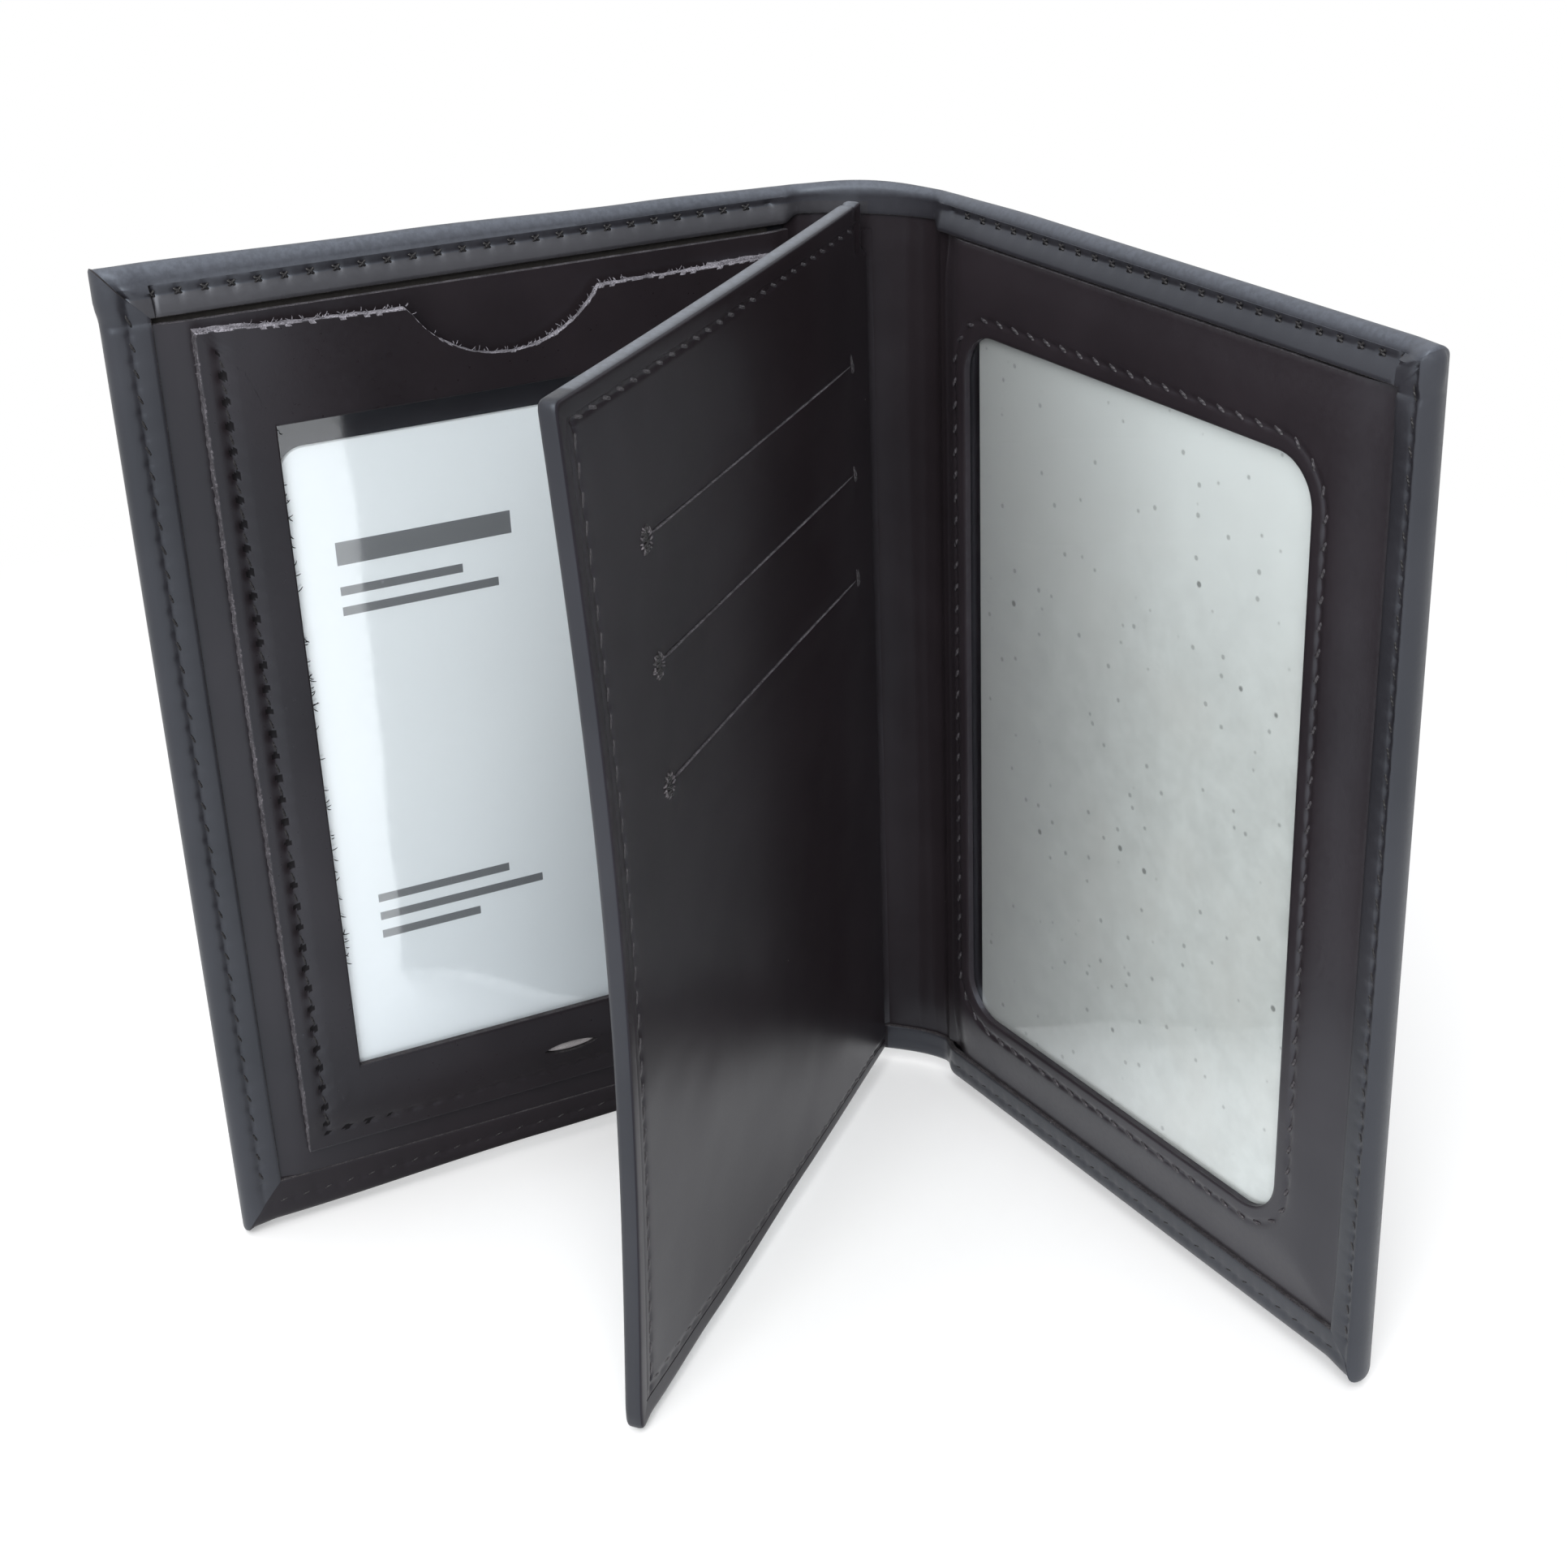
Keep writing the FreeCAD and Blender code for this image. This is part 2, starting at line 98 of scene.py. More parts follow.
def steps(first, last, pitch):
    count = max(1, round(abs(last - first) / pitch))
    return [mixed(first, last, n / count) for n in range(count + 1)]


def sheetPoint(side, w, t, z):
    # w runs along the leather from the middle of the spine, t in from the outer face
    half, turn = wallet["halfSpine"], wallet["turn"]
    depth = t - wallet["neutral"]
    u = w - half
    lean = turn
    x, y = half + u * math.cos(turn), -u * math.sin(turn)
    if w < half + wallet["bend"]:
        s = w / (half + wallet["bend"])
        reach = wallet["bend"]
        endX, endY = half + reach * math.cos(turn), -reach * math.sin(turn)
        pullA, pullB = wallet["pull"]
        line = ((0.0, wallet["bulge"]), (pullA, wallet["bulge"]),
                (endX - pullB * math.cos(turn), endY + pullB * math.sin(turn)), (endX, endY))
        shares = ((1 - s) ** 3, 3 * s * (1 - s) ** 2, 3 * s * s * (1 - s), s ** 3)
        x = sum(k * p[0] for k, p in zip(shares, line))
        y = sum(k * p[1] for k, p in zip(shares, line))
        slopes = ((1 - s) ** 2, 2 * s * (1 - s), s * s)
        ahead = [(b[0] - a[0], b[1] - a[1]) for a, b in zip(line, line[1:])]
        lean = math.atan2(-sum(k * p[1] for k, p in zip(slopes, ahead)),
                          sum(k * p[0] for k, p in zip(slopes, ahead)))
    return Vector((side * (x - depth * math.sin(lean)), y - depth * math.cos(lean) + wallet["foldY"], z)) * mm


def coverPoint(side, u, t, z):
    return sheetPoint(side, wallet["halfSpine"] + u, t, z)


leafForm = {
    "rootX": -1.51,
    "rootY": 37.967,
    "lean": math.radians(5.6),
    "width": 80.1,
    "low": 1.3,
    "high": 122.4,
    "bow": 2.4,       # the free edge stands a little hollow
    "level": (0.02, 0.42),   # share of the bow at which the edge lies true, at the foot and at the top
    "lag": (1.0, 0.6),       # the free edge hangs back, at the foot and at the top
}


def leafPoint(u, t, z):
    rise = max(0.0, min(1.0, (z - leafForm["low"]) / (leafForm["high"] - leafForm["low"])))
    bow = leafForm["bow"] * (math.sin(math.pi * rise) - mixed(*leafForm["level"], rise))
    bow = (bow - mixed(*leafForm["lag"], rise)) * max(0.0, u / leafForm["width"]) ** 2
    a = leafForm["lean"]
    x = leafForm["rootX"] - u * math.sin(a) + (t + bow) * math.cos(a)
    y = leafForm["rootY"] - u * math.cos(a) - (t + bow) * math.sin(a)
    return Vector((x, y, z)) * mm


def clearSelection():
    bpy.ops.object.select_all(action="DESELECT")


def pick(piece):
    clearSelection()
    piece.select_set(True)
    bpy.context.view_layer.objects.active = piece


def cutBlank(name, columns, rows, place, paint=None, wearAndSheen=None):
    # a flat blank of leather, paper or film, laid in its place point by point
    clearSelection()
    bpy.ops.mesh.primitive_grid_add(x_subdivisions=columns, y_subdivisions=rows, size=1.0)
    blank = bpy.context.object
    blank.name = name
    blank.data.name = name
    spots = [(round((v.co.x + 0.5) * columns), round((v.co.y + 0.5) * rows)) for v in blank.data.vertices]
    for v, (i, j) in zip(blank.data.vertices, spots):
        v.co = place(i, j)
    if paint:
        for face in blank.data.polygons:
            cell = [spots[n] for n in face.vertices]
            face.material_index = paint(min(c[0] for c in cell), min(c[1] for c in cell))
    wearAndSheenLayer = blank.data.attributes.new("wearAndSheen", "FLOAT", "POINT")
    if wearAndSheen:
        wearAndSheenLayer.data.foreach_set("value", [wearAndSheen(i, j) for i, j in spots])
    return blank


def joined(pieces):
    clearSelection()
    for piece in pieces:
        piece.select_set(True)
    bpy.context.view_layer.objects.active = pieces[0]
    bpy.ops.object.join()
    return pieces[0]


@contextmanager
def editing(piece, start="SELECT"):
    # mesh editing that starts with everything picked, or with nothing
    pick(piece)
    bpy.ops.object.mode_set(mode="EDIT")
    bpy.ops.mesh.select_all(action=start)
    yield
    bpy.ops.object.mode_set(mode="OBJECT")


def pickParts(piece, kind, test):
    # picks the edges or faces that pass the test
    bpy.ops.mesh.select_mode(type=kind)
    shape = bmesh.from_edit_mesh(piece.data)
    for part in shape.edges if kind == "EDGE" else shape.faces:
        if test(part):
            part.select_set(True)
    bmesh.update_edit_mesh(piece.data)


def sewUp(piece, gap=0.004):
    with editing(piece):
        bpy.ops.mesh.remove_doubles(threshold=gap * mm)
        bpy.ops.mesh.normals_make_consistent(inside=False)


def capOpen(piece, test):
    # closes one open loop of edges with a flat face
    with editing(piece, "DESELECT"):
        pickParts(piece, "EDGE", lambda edge: edge.is_boundary and all(test(v.co / mm) for v in edge.verts))
        bpy.ops.mesh.edge_face_add()


def addModifier(piece, kind, **settings):
    pick(piece)
    made = piece.modifiers.new(kind.lower(), kind)
    for key, value in settings.items():
        setattr(made, key, value)
    bpy.ops.object.modifier_apply(modifier=made.name)


def faceTowards(piece, direction):
    # an open sheet shows its face towards the direction before it gets its thickness
    total = sum((face.normal * face.area for face in piece.data.polygons), Vector())
    if total.dot(direction) < 0.0:
        with editing(piece):
            bpy.ops.mesh.flip_normals()


def smooth(piece, degrees=40.0):
    pick(piece)
    bpy.ops.object.shade_smooth_by_angle(angle=math.radians(degrees))


def dress(piece, *finishes):
    for finish in finishes:
        piece.data.materials.append(finish)


# Finishes


def feed(tree, socket, value):
    # an output is linked, a constant is set on the socket
    if isinstance(value, bpy.types.NodeSocket):
        tree.links.new(value, socket)
    else:
        socket.default_value = (*value, 1.0) if socket.type == "RGBA" else value


def addNode(tree, kind, values=None, **settings):
    made = tree.nodes.new(kind)
    for key, value in settings.items():
        setattr(made, key, value)
    for key, value in (values or {}).items():
        feed(tree, made.inputs[key], value)
    return made


def blendColour(tree, factor, first, second):
    return addNode(tree, "ShaderNodeMix", {0: factor, 6: first, 7: second}, data_type="RGBA").outputs[2]


def calc(tree, operation, first, second=0.0, third=0.0):
    return addNode(tree, "ShaderNodeMath", {0: first, 1: second, 2: third}, operation=operation).outputs[0]


def remap(tree, value, low, high, toLow, toHigh):
    ends = {"Value": value, "From Min": low, "From Max": high, "To Min": toLow, "To Max": toHigh}
    return addNode(tree, "ShaderNodeMapRange", ends, clamp=True).outputs["Result"]


def noise(tree, where, scale, detail, roughness=0.5):
    values = {"Vector": where, "Scale": scale, "Detail": detail, "Roughness": roughness}
    return addNode(tree, "ShaderNodeTexNoise", values).outputs["Fac"]


def waves(tree, where, scale, distortion, direction):
    values = {"Vector": where, "Scale": scale, "Distortion": distortion}
    return addNode(tree, "ShaderNodeTexWave", values, bands_direction=direction).outputs["Fac"]


def raised(tree, height, distance, strength, under=None):
    values = {"Height": height, "Distance": distance, "Strength": strength}
    if under:
        values["Normal"] = under
    return addNode(tree, "ShaderNodeBump", values).outputs["Normal"]


def placeParts(tree, where):
    return addNode(tree, "ShaderNodeSeparateXYZ", {0: where}).outputs


def overlaid(tree, tone, mask, share, colour):
    # a share of the colour lies over the tone where the mask is
    return blendColour(tree, calc(tree, "MULTIPLY", mask, share), tone, colour)


def layered(tree, share, below, above):
    both = addNode(tree, "ShaderNodeMixShader", {0: share, 1: below.outputs[0], 2: above.outputs[0]})
    feed(tree, tree.nodes["Material Output"].inputs["Surface"], both.outputs[0])


def startFinish(name):
    finish = bpy.data.materials.new(name)
    finish.use_nodes = True
    tree = finish.node_tree
    return finish, tree, addNode(tree, "ShaderNodeTexCoord").outputs["Object"]


def coat(tree, values):
    shader = tree.nodes["Principled BSDF"]
    for key, value in values.items():
        feed(tree, shader.inputs[key], value)
    return shader


def specks(tree, where, scale, size, share):
    # sparse round flecks: 1 on a fleck, 0 elsewhere
    cells = addNode(tree, "ShaderNodeTexVoronoi", {"Vector": where, "Scale": scale, "Randomness": 1.0}).outputs
    dot = remap(tree, cells["Distance"], size * 0.6, size, 1.0, 0.0)
    chosen = addNode(tree, "ShaderNodeSeparateColor", {"Color": cells["Color"]}).outputs["Red"]
    return calc(tree, "MULTIPLY", dot, calc(tree, "GREATER_THAN", chosen, 1.0 - share))


def leatherFinish(name, look):
    finish, tree, where = startFinish(name)
    cloud = noise(tree, where, look["cloud"], 3.0)
    crease = noise(tree, where, look["crease"], 5.0, 0.6)
    grain = addNode(tree, "ShaderNodeTexVoronoi", {"Vector": where, "Scale": look["grain"]}).outputs["Distance"]
    # the wear attribute carries real wear at corners and cut edges and painted sheen along the top crests; a
    # paler, bluer colour lies over the tone wherever it is
    wearAndSheenLayer = addNode(tree, "ShaderNodeAttribute", attribute_name="wearAndSheen").outputs["Fac"]
    wearAndSheenMask = calc(tree, "MULTIPLY", wearAndSheenLayer, remap(tree, crease, 0.4, 0.62, 0.6, 1.0))
    tone = blendColour(tree, remap(tree, cloud, 0.35, 0.65, 0.0, 1.0), look["dark"], look["light"])
    tone = overlaid(tree, tone, wearAndSheenMask, 0.8, look["wearAndSheenColour"])
    dust = specks(tree, where, look["dustScale"], look["dustSize"], look["dustShare"])
    tone = overlaid(tree, tone, dust, 0.5, look["dust"])
    rough = remap(tree, crease, 0.3, 0.7, look["rough"] - look["uneven"], look["rough"] + look["uneven"])
    rough = calc(tree, "ADD", rough, calc(tree, "MULTIPLY", wearAndSheenMask, 0.12))
    normal = raised(tree, noise(tree, where, look["wave"], 1.0), look["waveDepth"], 1.0)
    normal = raised(tree, crease, 0.00004, look["creaseStrength"], normal)
    normal = raised(tree, grain, 0.00002, look["grainStrength"], normal)
    coat(tree, {"Base Color": tone, "Roughness": rough, "Specular IOR Level": look["shine"],
                "Specular Tint": look["tint"], "Normal": normal})
    return finish


boxCalf = {
    "dark": (0.0128, 0.0097, 0.0112), "light": (0.018, 0.0138, 0.016), "wearAndSheenColour": (0.05, 0.047, 0.05),
    "tint": (0.78, 0.88, 1.0), "shine": 0.5, "rough": 0.36, "uneven": 0.04,
    "cloud": 55.0, "crease": 1500.0, "creaseStrength": 0.08, "grain": 3800.0, "grainStrength": 0.12,
    "wave": 75.0, "waveDepth": 0.0003,
    "dust": (0.5, 0.48, 0.47), "dustScale": 330.0, "dustSize": 0.045, "dustShare": 0.03,
}
# the turned and rolled leather is painted greyer and bluer than the panels, as painted sheen for the light the
# hems catch
turnedCalf = dict(boxCalf, dark=(0.018, 0.0172, 0.0208), light=(0.025, 0.024, 0.0288),
                  wearAndSheenColour=(0.098, 0.106, 0.128), rough=0.39, shine=0.6, creaseStrength=0.12, grainStrength=0.2)
outerFinish = leatherFinish("outerLeather", turnedCalf)
# painted shade: the left cover's foot hem gets a darker, duller copy of the leather
footShadeFinish = leatherFinish("footShadeLeather", dict(boxCalf, shine=0.3, rough=0.45))
stripFinish = leatherFinish("stripLeather", dict(
    turnedCalf, dark=(0.0185, 0.0172, 0.0195), light=(0.0255, 0.024, 0.0268), tint=(0.88, 0.92, 1.0)))
# painted shade for the needle holes: a near-black, dull copy of the leather
pitShadeFinish = leatherFinish("pitShadeLeather", dict(
    boxCalf, dark=(0.006, 0.005, 0.0055), light=(0.009, 0.0075, 0.008), shine=0.12, rough=0.6))
liningCalf = dict(boxCalf, rough=0.33, wave=95.0)
liningFinish = leatherFinish("liningLeather", liningCalf)
spineFinish = leatherFinish("spineLeather", dict(liningCalf, shine=0.36))
panelFinish = leatherFinish("panelLeather", dict(boxCalf, rough=0.31, wave=60.0))
# painted light: the right window panel gets a lighter copy of the panel leather
litFramePanelFinish = leatherFinish("litFramePanelLeather", dict(
    boxCalf, dark=(0.0185, 0.0145, 0.017), light=(0.0245, 0.0195, 0.0228), rough=0.33, shine=0.55))
leafFinish = leatherFinish("leafLeather", dict(
    boxCalf, dark=(0.0115, 0.0082, 0.0095), light=(0.0152, 0.0112, 0.0129), tint=(0.66, 0.76, 1.0), rough=0.3,
    uneven=0.01, shine=0.27, wave=65.0, creaseStrength=0.02, grainStrength=0.03))
wrapFinish = leatherFinish("wrapLeather", dict(
    turnedCalf, wearAndSheenColour=(0.205, 0.22, 0.25), wave=65.0, creaseStrength=0.06, grainStrength=0.1, shine=0.45))


def rawFinish(name, look):
    # the cut edge of the leather: matted fibres
    finish, tree, where = startFinish(name)
    fibre = noise(tree, where, look["fibre"], 6.0, 0.7)
    clump = noise(tree, where, look["clump"], 2.0)
    mass = calc(tree, "MULTIPLY", remap(tree, fibre, 0.38, 0.62, 0.0, 1.0),
                remap(tree, clump, 0.35, 0.65, 0.35, 1.0))
    coat(tree, {"Base Color": blendColour(tree, mass, look["dark"], look["light"]), "Roughness": 0.85,
                "Specular IOR Level": 0.25, "Normal": raised(tree, fibre, 0.00012, 0.9)})
    return finish


rawFibre = {"dark": (0.07, 0.066, 0.076), "light": (0.44, 0.425, 0.475), "fibre": 5200.0, "clump": 700.0}
rawEdge = rawFinish("rawEdge", rawFibre)
cutEdge = rawFinish("cutEdge", dict(rawFibre, dark=(0.025, 0.023, 0.027), light=(0.2, 0.19, 0.21)))
hemEdge = rawFinish("hemEdge", dict(rawFibre, dark=(0.016, 0.014, 0.016), light=(0.08, 0.075, 0.08)))
# pale raw fibre for the middle of the slot's floor, painted light
slotPaintedLight = rawFinish("slotPaintedLight", dict(rawFibre, dark=(0.25, 0.235, 0.24), light=(0.5, 0.47, 0.48), fibre=9000.0))


def threadFinish(name, dark, light, rough):
    finish, tree, where = startFinish(name)
    twist = waves(tree, addNode(tree, "ShaderNodeUVMap").outputs["UV"], 3.0, 0.6, "DIAGONAL")
    fluff = remap(tree, noise(tree, where, 4000.0, 3.0), 0.4, 0.7, 0.0, 1.0)
    coat(tree, {"Base Color": blendColour(tree, fluff, dark, light), "Roughness": rough,
                "Normal": raised(tree, twist, 0.00006, 0.8)})
    return finish


def filmFinish(name, slope):
    # clear film: what is behind shows through, the room is mirrored on it
    finish, tree, where = startFinish(name)
    tree.nodes.remove(tree.nodes["Principled BSDF"])
    place = placeParts(tree, where)
    along = calc(tree, "ADD", calc(tree, "MULTIPLY", place["X"], math.cos(wallet["turn"])),
                 calc(tree, "MULTIPLY", place["Y"], math.sin(wallet["turn"])))
    normal = raised(tree, noise(tree, where, 38.0, 1.0), 0.0006, 0.5, raised(tree, along, slope, 1.0))
    facing = addNode(tree, "ShaderNodeLayerWeight", {"Blend": 0.5, "Normal": normal}).outputs["Facing"]
    share = calc(tree, "ADD", calc(tree, "MULTIPLY", calc(tree, "POWER", facing, 5.0), 0.9), 0.1)
    scratch = remap(tree, noise(tree, where, 900.0, 4.0), 0.3, 0.7, 0.03, 0.1)
    clear = addNode(tree, "ShaderNodeBsdfTransparent", {"Color": (0.96, 0.975, 0.98)})
    gloss = addNode(tree, "ShaderNodeBsdfGlossy",
                    {"Color": (0.95, 0.97, 1.0), "Roughness": scratch, "Normal": normal})
    layered(tree, share, clear, gloss)
    return finish


# plain bars on the card: middle and half size as shares of its face
cardBars = ((0.7, 0.84, 0.2, 0.017), (0.76, 0.785, 0.14, 0.0065), (0.72, 0.755, 0.18, 0.0065),
            (0.74, 0.3, 0.16, 0.0065), (0.7, 0.27, 0.2, 0.0065), (0.78, 0.24, 0.12, 0.0065))


def cardFinish():
    finish, tree, where = startFinish("cardFace")
    tone = blendColour(tree, noise(tree, where, 22.0, 2.0), (0.87, 0.882, 0.892), (0.895, 0.905, 0.914))
    # painted shade: the card turns darker and bluer towards its foot
    low = remap(tree, placeParts(tree, where)["Z"], 0.02, 0.06, 0.5, 0.0)
    tone = blendColour(tree, low, tone, (0.76, 0.785, 0.82))
    spot = placeParts(tree, addNode(tree, "ShaderNodeUVMap").outputs["UV"])
    for across, up, wide, high in cardBars:
        inside = calc(tree, "MULTIPLY", calc(tree, "COMPARE", spot["X"], across, wide),
                      calc(tree, "COMPARE", spot["Y"], up, high))
        tone = overlaid(tree, tone, inside, 0.85, (0.06, 0.06, 0.066))
    tone = overlaid(tree, tone, specks(tree, where, 260.0, 0.06, 0.08), 0.6, (0.3, 0.3, 0.32))
    fine = raised(tree, noise(tree, where, 2600.0, 2.0), 0.00001, 0.3)
    coat(tree, {"Base Color": tone, "Roughness": 0.38, "Normal": fine})
    return finish


def insertFinish():
    # pale recycled sheet with dark flecks, with painted light towards the top and painted shade towards the
    # spine
    finish, tree, where = startFinish("paleInsert")
    cloud = remap(tree, noise(tree, where, 260.0, 5.0, 0.65), 0.3, 0.7, 0.0, 1.0)
    warm = remap(tree, noise(tree, where, 70.0, 2.0), 0.45, 0.7, 0.0, 0.4)
    place = placeParts(tree, where)
    paintedTopLight = remap(tree, place["Z"], 0.07, 0.105, 0.0, 0.8)
    paintedSpineShade = remap(tree, place["X"], 0.013, 0.044, 0.9, 0.0)
    tone = blendColour(tree, cloud, (0.7, 0.703, 0.672), (0.83, 0.833, 0.8))
    for mask, colour in ((warm, (0.77, 0.745, 0.7)), (paintedTopLight, (0.96, 0.965, 0.94)),
                         (paintedSpineShade, (0.37, 0.36, 0.35))):
        tone = blendColour(tree, mask, tone, colour)
    tone = overlaid(tree, tone, specks(tree, where, 520.0, 0.2, 0.3), 0.5, (0.2, 0.2, 0.19))
    tone = overlaid(tree, tone, specks(tree, where, 190.0, 0.09, 0.4), 0.75, (0.14, 0.14, 0.13))
    fine = raised(tree, noise(tree, where, 1800.0, 4.0), 0.00003, 0.15)
    coat(tree, {"Base Color": tone, "Roughness": 0.75, "Normal": fine})
    return finish


def boardFinish():
    finish, tree, where = startFinish("stiffBoard")
    fibre = noise(tree, where, 1500.0, 5.0)
    coat(tree, {"Base Color": blendColour(tree, fibre, (0.02, 0.018, 0.017), (0.05, 0.045, 0.042)),
                "Roughness": 0.9, "Normal": raised(tree, fibre, 0.00006, 0.7)})
    return finish


def clothFinish():
    finish, tree, where = startFinish("pocketCloth")
    weave = calc(tree, "MULTIPLY", waves(tree, where, 700.0, 0.4, "Z"), waves(tree, where, 700.0, 0.4, "Y"))
    coat(tree, {"Base Color": blendColour(tree, weave, (0.012, 0.012, 0.013), (0.03, 0.03, 0.032)),
                "Roughness": 0.8, "Normal": raised(tree, weave, 0.00008, 0.7)})
    return finish


threadLook = threadFinish("blackThread", (0.007, 0.006, 0.007), (0.024, 0.022, 0.024), 0.42)
waxedThread = threadFinish("waxedThread", (0.022, 0.02, 0.023), (0.07, 0.063, 0.072), 0.45)
frayedThread = threadFinish("frayedThread", (0.05, 0.047, 0.05), (0.22, 0.2, 0.22), 0.6)
cardFilm = filmFinish("cardFilm", 0.07)
sheetFilm = filmFinish("sheetFilm", 0.0)
cardLook = cardFinish()
insertLook = insertFinish()
boardLook = boardFinish()
clothLook = clothFinish()
print("finishes made", len(bpy.data.materials))

# Stitches: one is modelled, the rest are copies of it

thread = {"length": 2.3, "width": 0.4, "rise": 0.28, "dip": 0.3, "slant": math.radians(13.0)}


def modelStrand(segments, rings, bend):
    # a slim ball along x, bent out of line
    clearSelection()
    bpy.ops.mesh.primitive_uv_sphere_add(segments=segments, ring_count=rings, radius=0.5)
    one = bpy.context.object
    one.data.transform(Matrix.Rotation(math.pi / 2, 4, "Y"))
    for v in one.data.vertices:
        aside, up = bend(v.co.x)
        v.co.y += aside
        v.co.z += up
    return one


def stitchBend(x):
    # a little twist in the lay, and the ends dive into the holes
    return 0.1 * math.sin(2 * x * math.pi), -thread["dip"] / thread["rise"] * (2 * x) ** 4


stitchModel = modelStrand(8, 6, stitchBend)
for face in stitchModel.data.polygons:
    face.use_smooth = True
fibreModel = modelStrand(4, 5, lambda x: (2.5 * x ** 2, 0.0))   # one loose fibre of cut leather


def sew(name, spots, length=None, width=None, rise=None, slant=None, model=None, finish=None, vary=0.06):
    # spots: (middle, direction along the seam, direction out of the leather)
    width = width or thread["width"]
    rise = rise or thread["rise"]
    slant = thread["slant"] if slant is None else slant
    reach = length or thread["length"]
    copies = []
    for middle, along, out in spots:
        along = along.normalized()
        across = out.cross(along).normalized()
        out = along.cross(across).normalized()
        tilt = slant + random.uniform(-0.06, 0.06)
        lay = along * math.cos(tilt) + across * math.sin(tilt)
        cross = out.cross(lay)
        length = reach * random.uniform(1.0 - vary, 1.0 + vary)
        place = Matrix((
            (lay.x * length, cross.x * width, out.x * rise, middle.x / mm),
            (lay.y * length, cross.y * width, out.y * rise, middle.y / mm),
            (lay.z * length, cross.z * width, out.z * rise, middle.z / mm),
            (0.0, 0.0, 0.0, 1.0)))
        copy = bpy.data.objects.new(name, (model or stitchModel).data.copy())
        copy.data.transform(Matrix.Scale(mm, 4) @ place)
        scene.collection.objects.link(copy)
        copies.append(copy)
    seam = joined(copies)
    seam.name = name
    seam.data.name = name
    dress(seam, finish or threadLook)
    return seam


def seamSpots(pointAt, first, last, count, heightAt, outward, share=0.5):
    # stitches of one straight row, between the needle holes or at a share of the way
    spots = []
    step = (last - first) / count
    for n in range(count):
        s = first + step * (n + share)
        middle = pointAt(s, heightAt(s))
        ahead = pointAt(s + 0.2, heightAt(s)) - pointAt(s - 0.2, heightAt(s))
        out = (pointAt(s, heightAt(s) + outward) - middle).normalized()
        spots.append((middle, ahead, out))
    return spots


# Outer leather: one blank for each half, turned over the board at the foot, the side and the top

rim = {
    "sheet": 0.78,          # thickness of the turned hem
    "board": 1.0,           # depth of the board's back
    "spineHeight": 1.8,
    "topHeight": 2.4,
    "hem": 5.2,
    "spineHem": 4.5,
    "flat": 3.6,            # where the turned rim meets the flat face
    "seam": 2.7,
    "cornerStart": 79.8,
    "tip": 0.9,
    "soft": 2.6,            # how far in from the edge the outline wanders
    "telegraph": 0.25,      # the panel's end shows through the side hem
    "notch": 0.3,           # the side hem's cut edge prints through the top hem
    "flap": 0.45,           # the side hem is folded over the top hem's end
    "cornerSteps": (0.06, 0.16, 0.3, 0.45, 0.6, 0.74, 0.85, 0.92, 0.965),
    "pitch": 0.375,
    "foldSheet": 14.1,
    "foldRows": 40,
    "climb": {"foot": 5.5, "top": 3.2},     # the hems come up to their height beside the fold
    "grooves": {"foot": (0.05, 0.12), "top": (0.08, 0.42)},   # depth of the seam and of its needle holes
    "sideGroove": (0.1, 0.26),
    "panelEnd": 118.6,      # height of the panel's end under the side hem
    "tiltHalf": 50.0,
    "tiltFade": 6.0,
    "hemStops": (1.85, 2.2, 2.45, 2.7, 2.95),   # from the roll to just past the seam
}
leftRim = {
    "side": -1, "height": 3.3, "sideGrow": 0.2, "topTilt": 0.3, "sideTilt": 0.0, "footMitre": 0.06,
    "topTip": 0.35, "paintedStripSheen": 0.08, "paintedCrestSheen": 1.0, "dull": True,
    "topGrow": ((0.0, -0.55), (9.0, -1.0), (30.0, -0.5), (60.0, 0.2), (94.2, 0.7)),
    "footGrow": ((0.0, 0.3), (20.0, 0.5), (54.0, 0.1), (90.0, -1.0), (92.8, -1.3), (94.2, -2.1)),
}
rightRim = {
    "side": 1, "height": 3.72, "sideGrow": -1.3, "topTilt": 0.4, "sideTilt": -0.09, "footMitre": 0.25,
    "topTip": 1.7, "paintedStripSheen": 0.0, "paintedCrestSheen": 0.95, "dull": False,
    "topGrow": ((0.0, -0.55), (9.0, -1.0), (30.0, -0.6), (94.2, -0.5)),
    "footGrow": ((0.0, 0.3), (20.0, 0.4), (88.0, 0.2), (92.0, -0.5), (94.2, -1.2)),
}
topRow = (5.2, 82.8, 26)
sideRow = (5.2, 121.4, 39)
footRow = (5.2, 81.8, 26)


def edgeStops(run, low, high, corner, pitch):
    # stops along the foot, the side and the top: (edge, place, share of the way to the mitre)
    turnIn = run[-1]
    stops = [("foot", w, None) for w in run]
    stops += [("foot", turnIn, f) for f in (*corner, 1.0)]
    stops += [("low", low, 1.0 - f) for f in reversed(corner)]
    stops += [("side", z, None) for z in steps(low, high, pitch)]
    stops += [("high", high, f) for f in (*corner, 1.0)]
    stops += [("top", turnIn, f) for f in reversed(corner)]
    stops += [("top", w, None) for w in reversed(run)]
    return stops


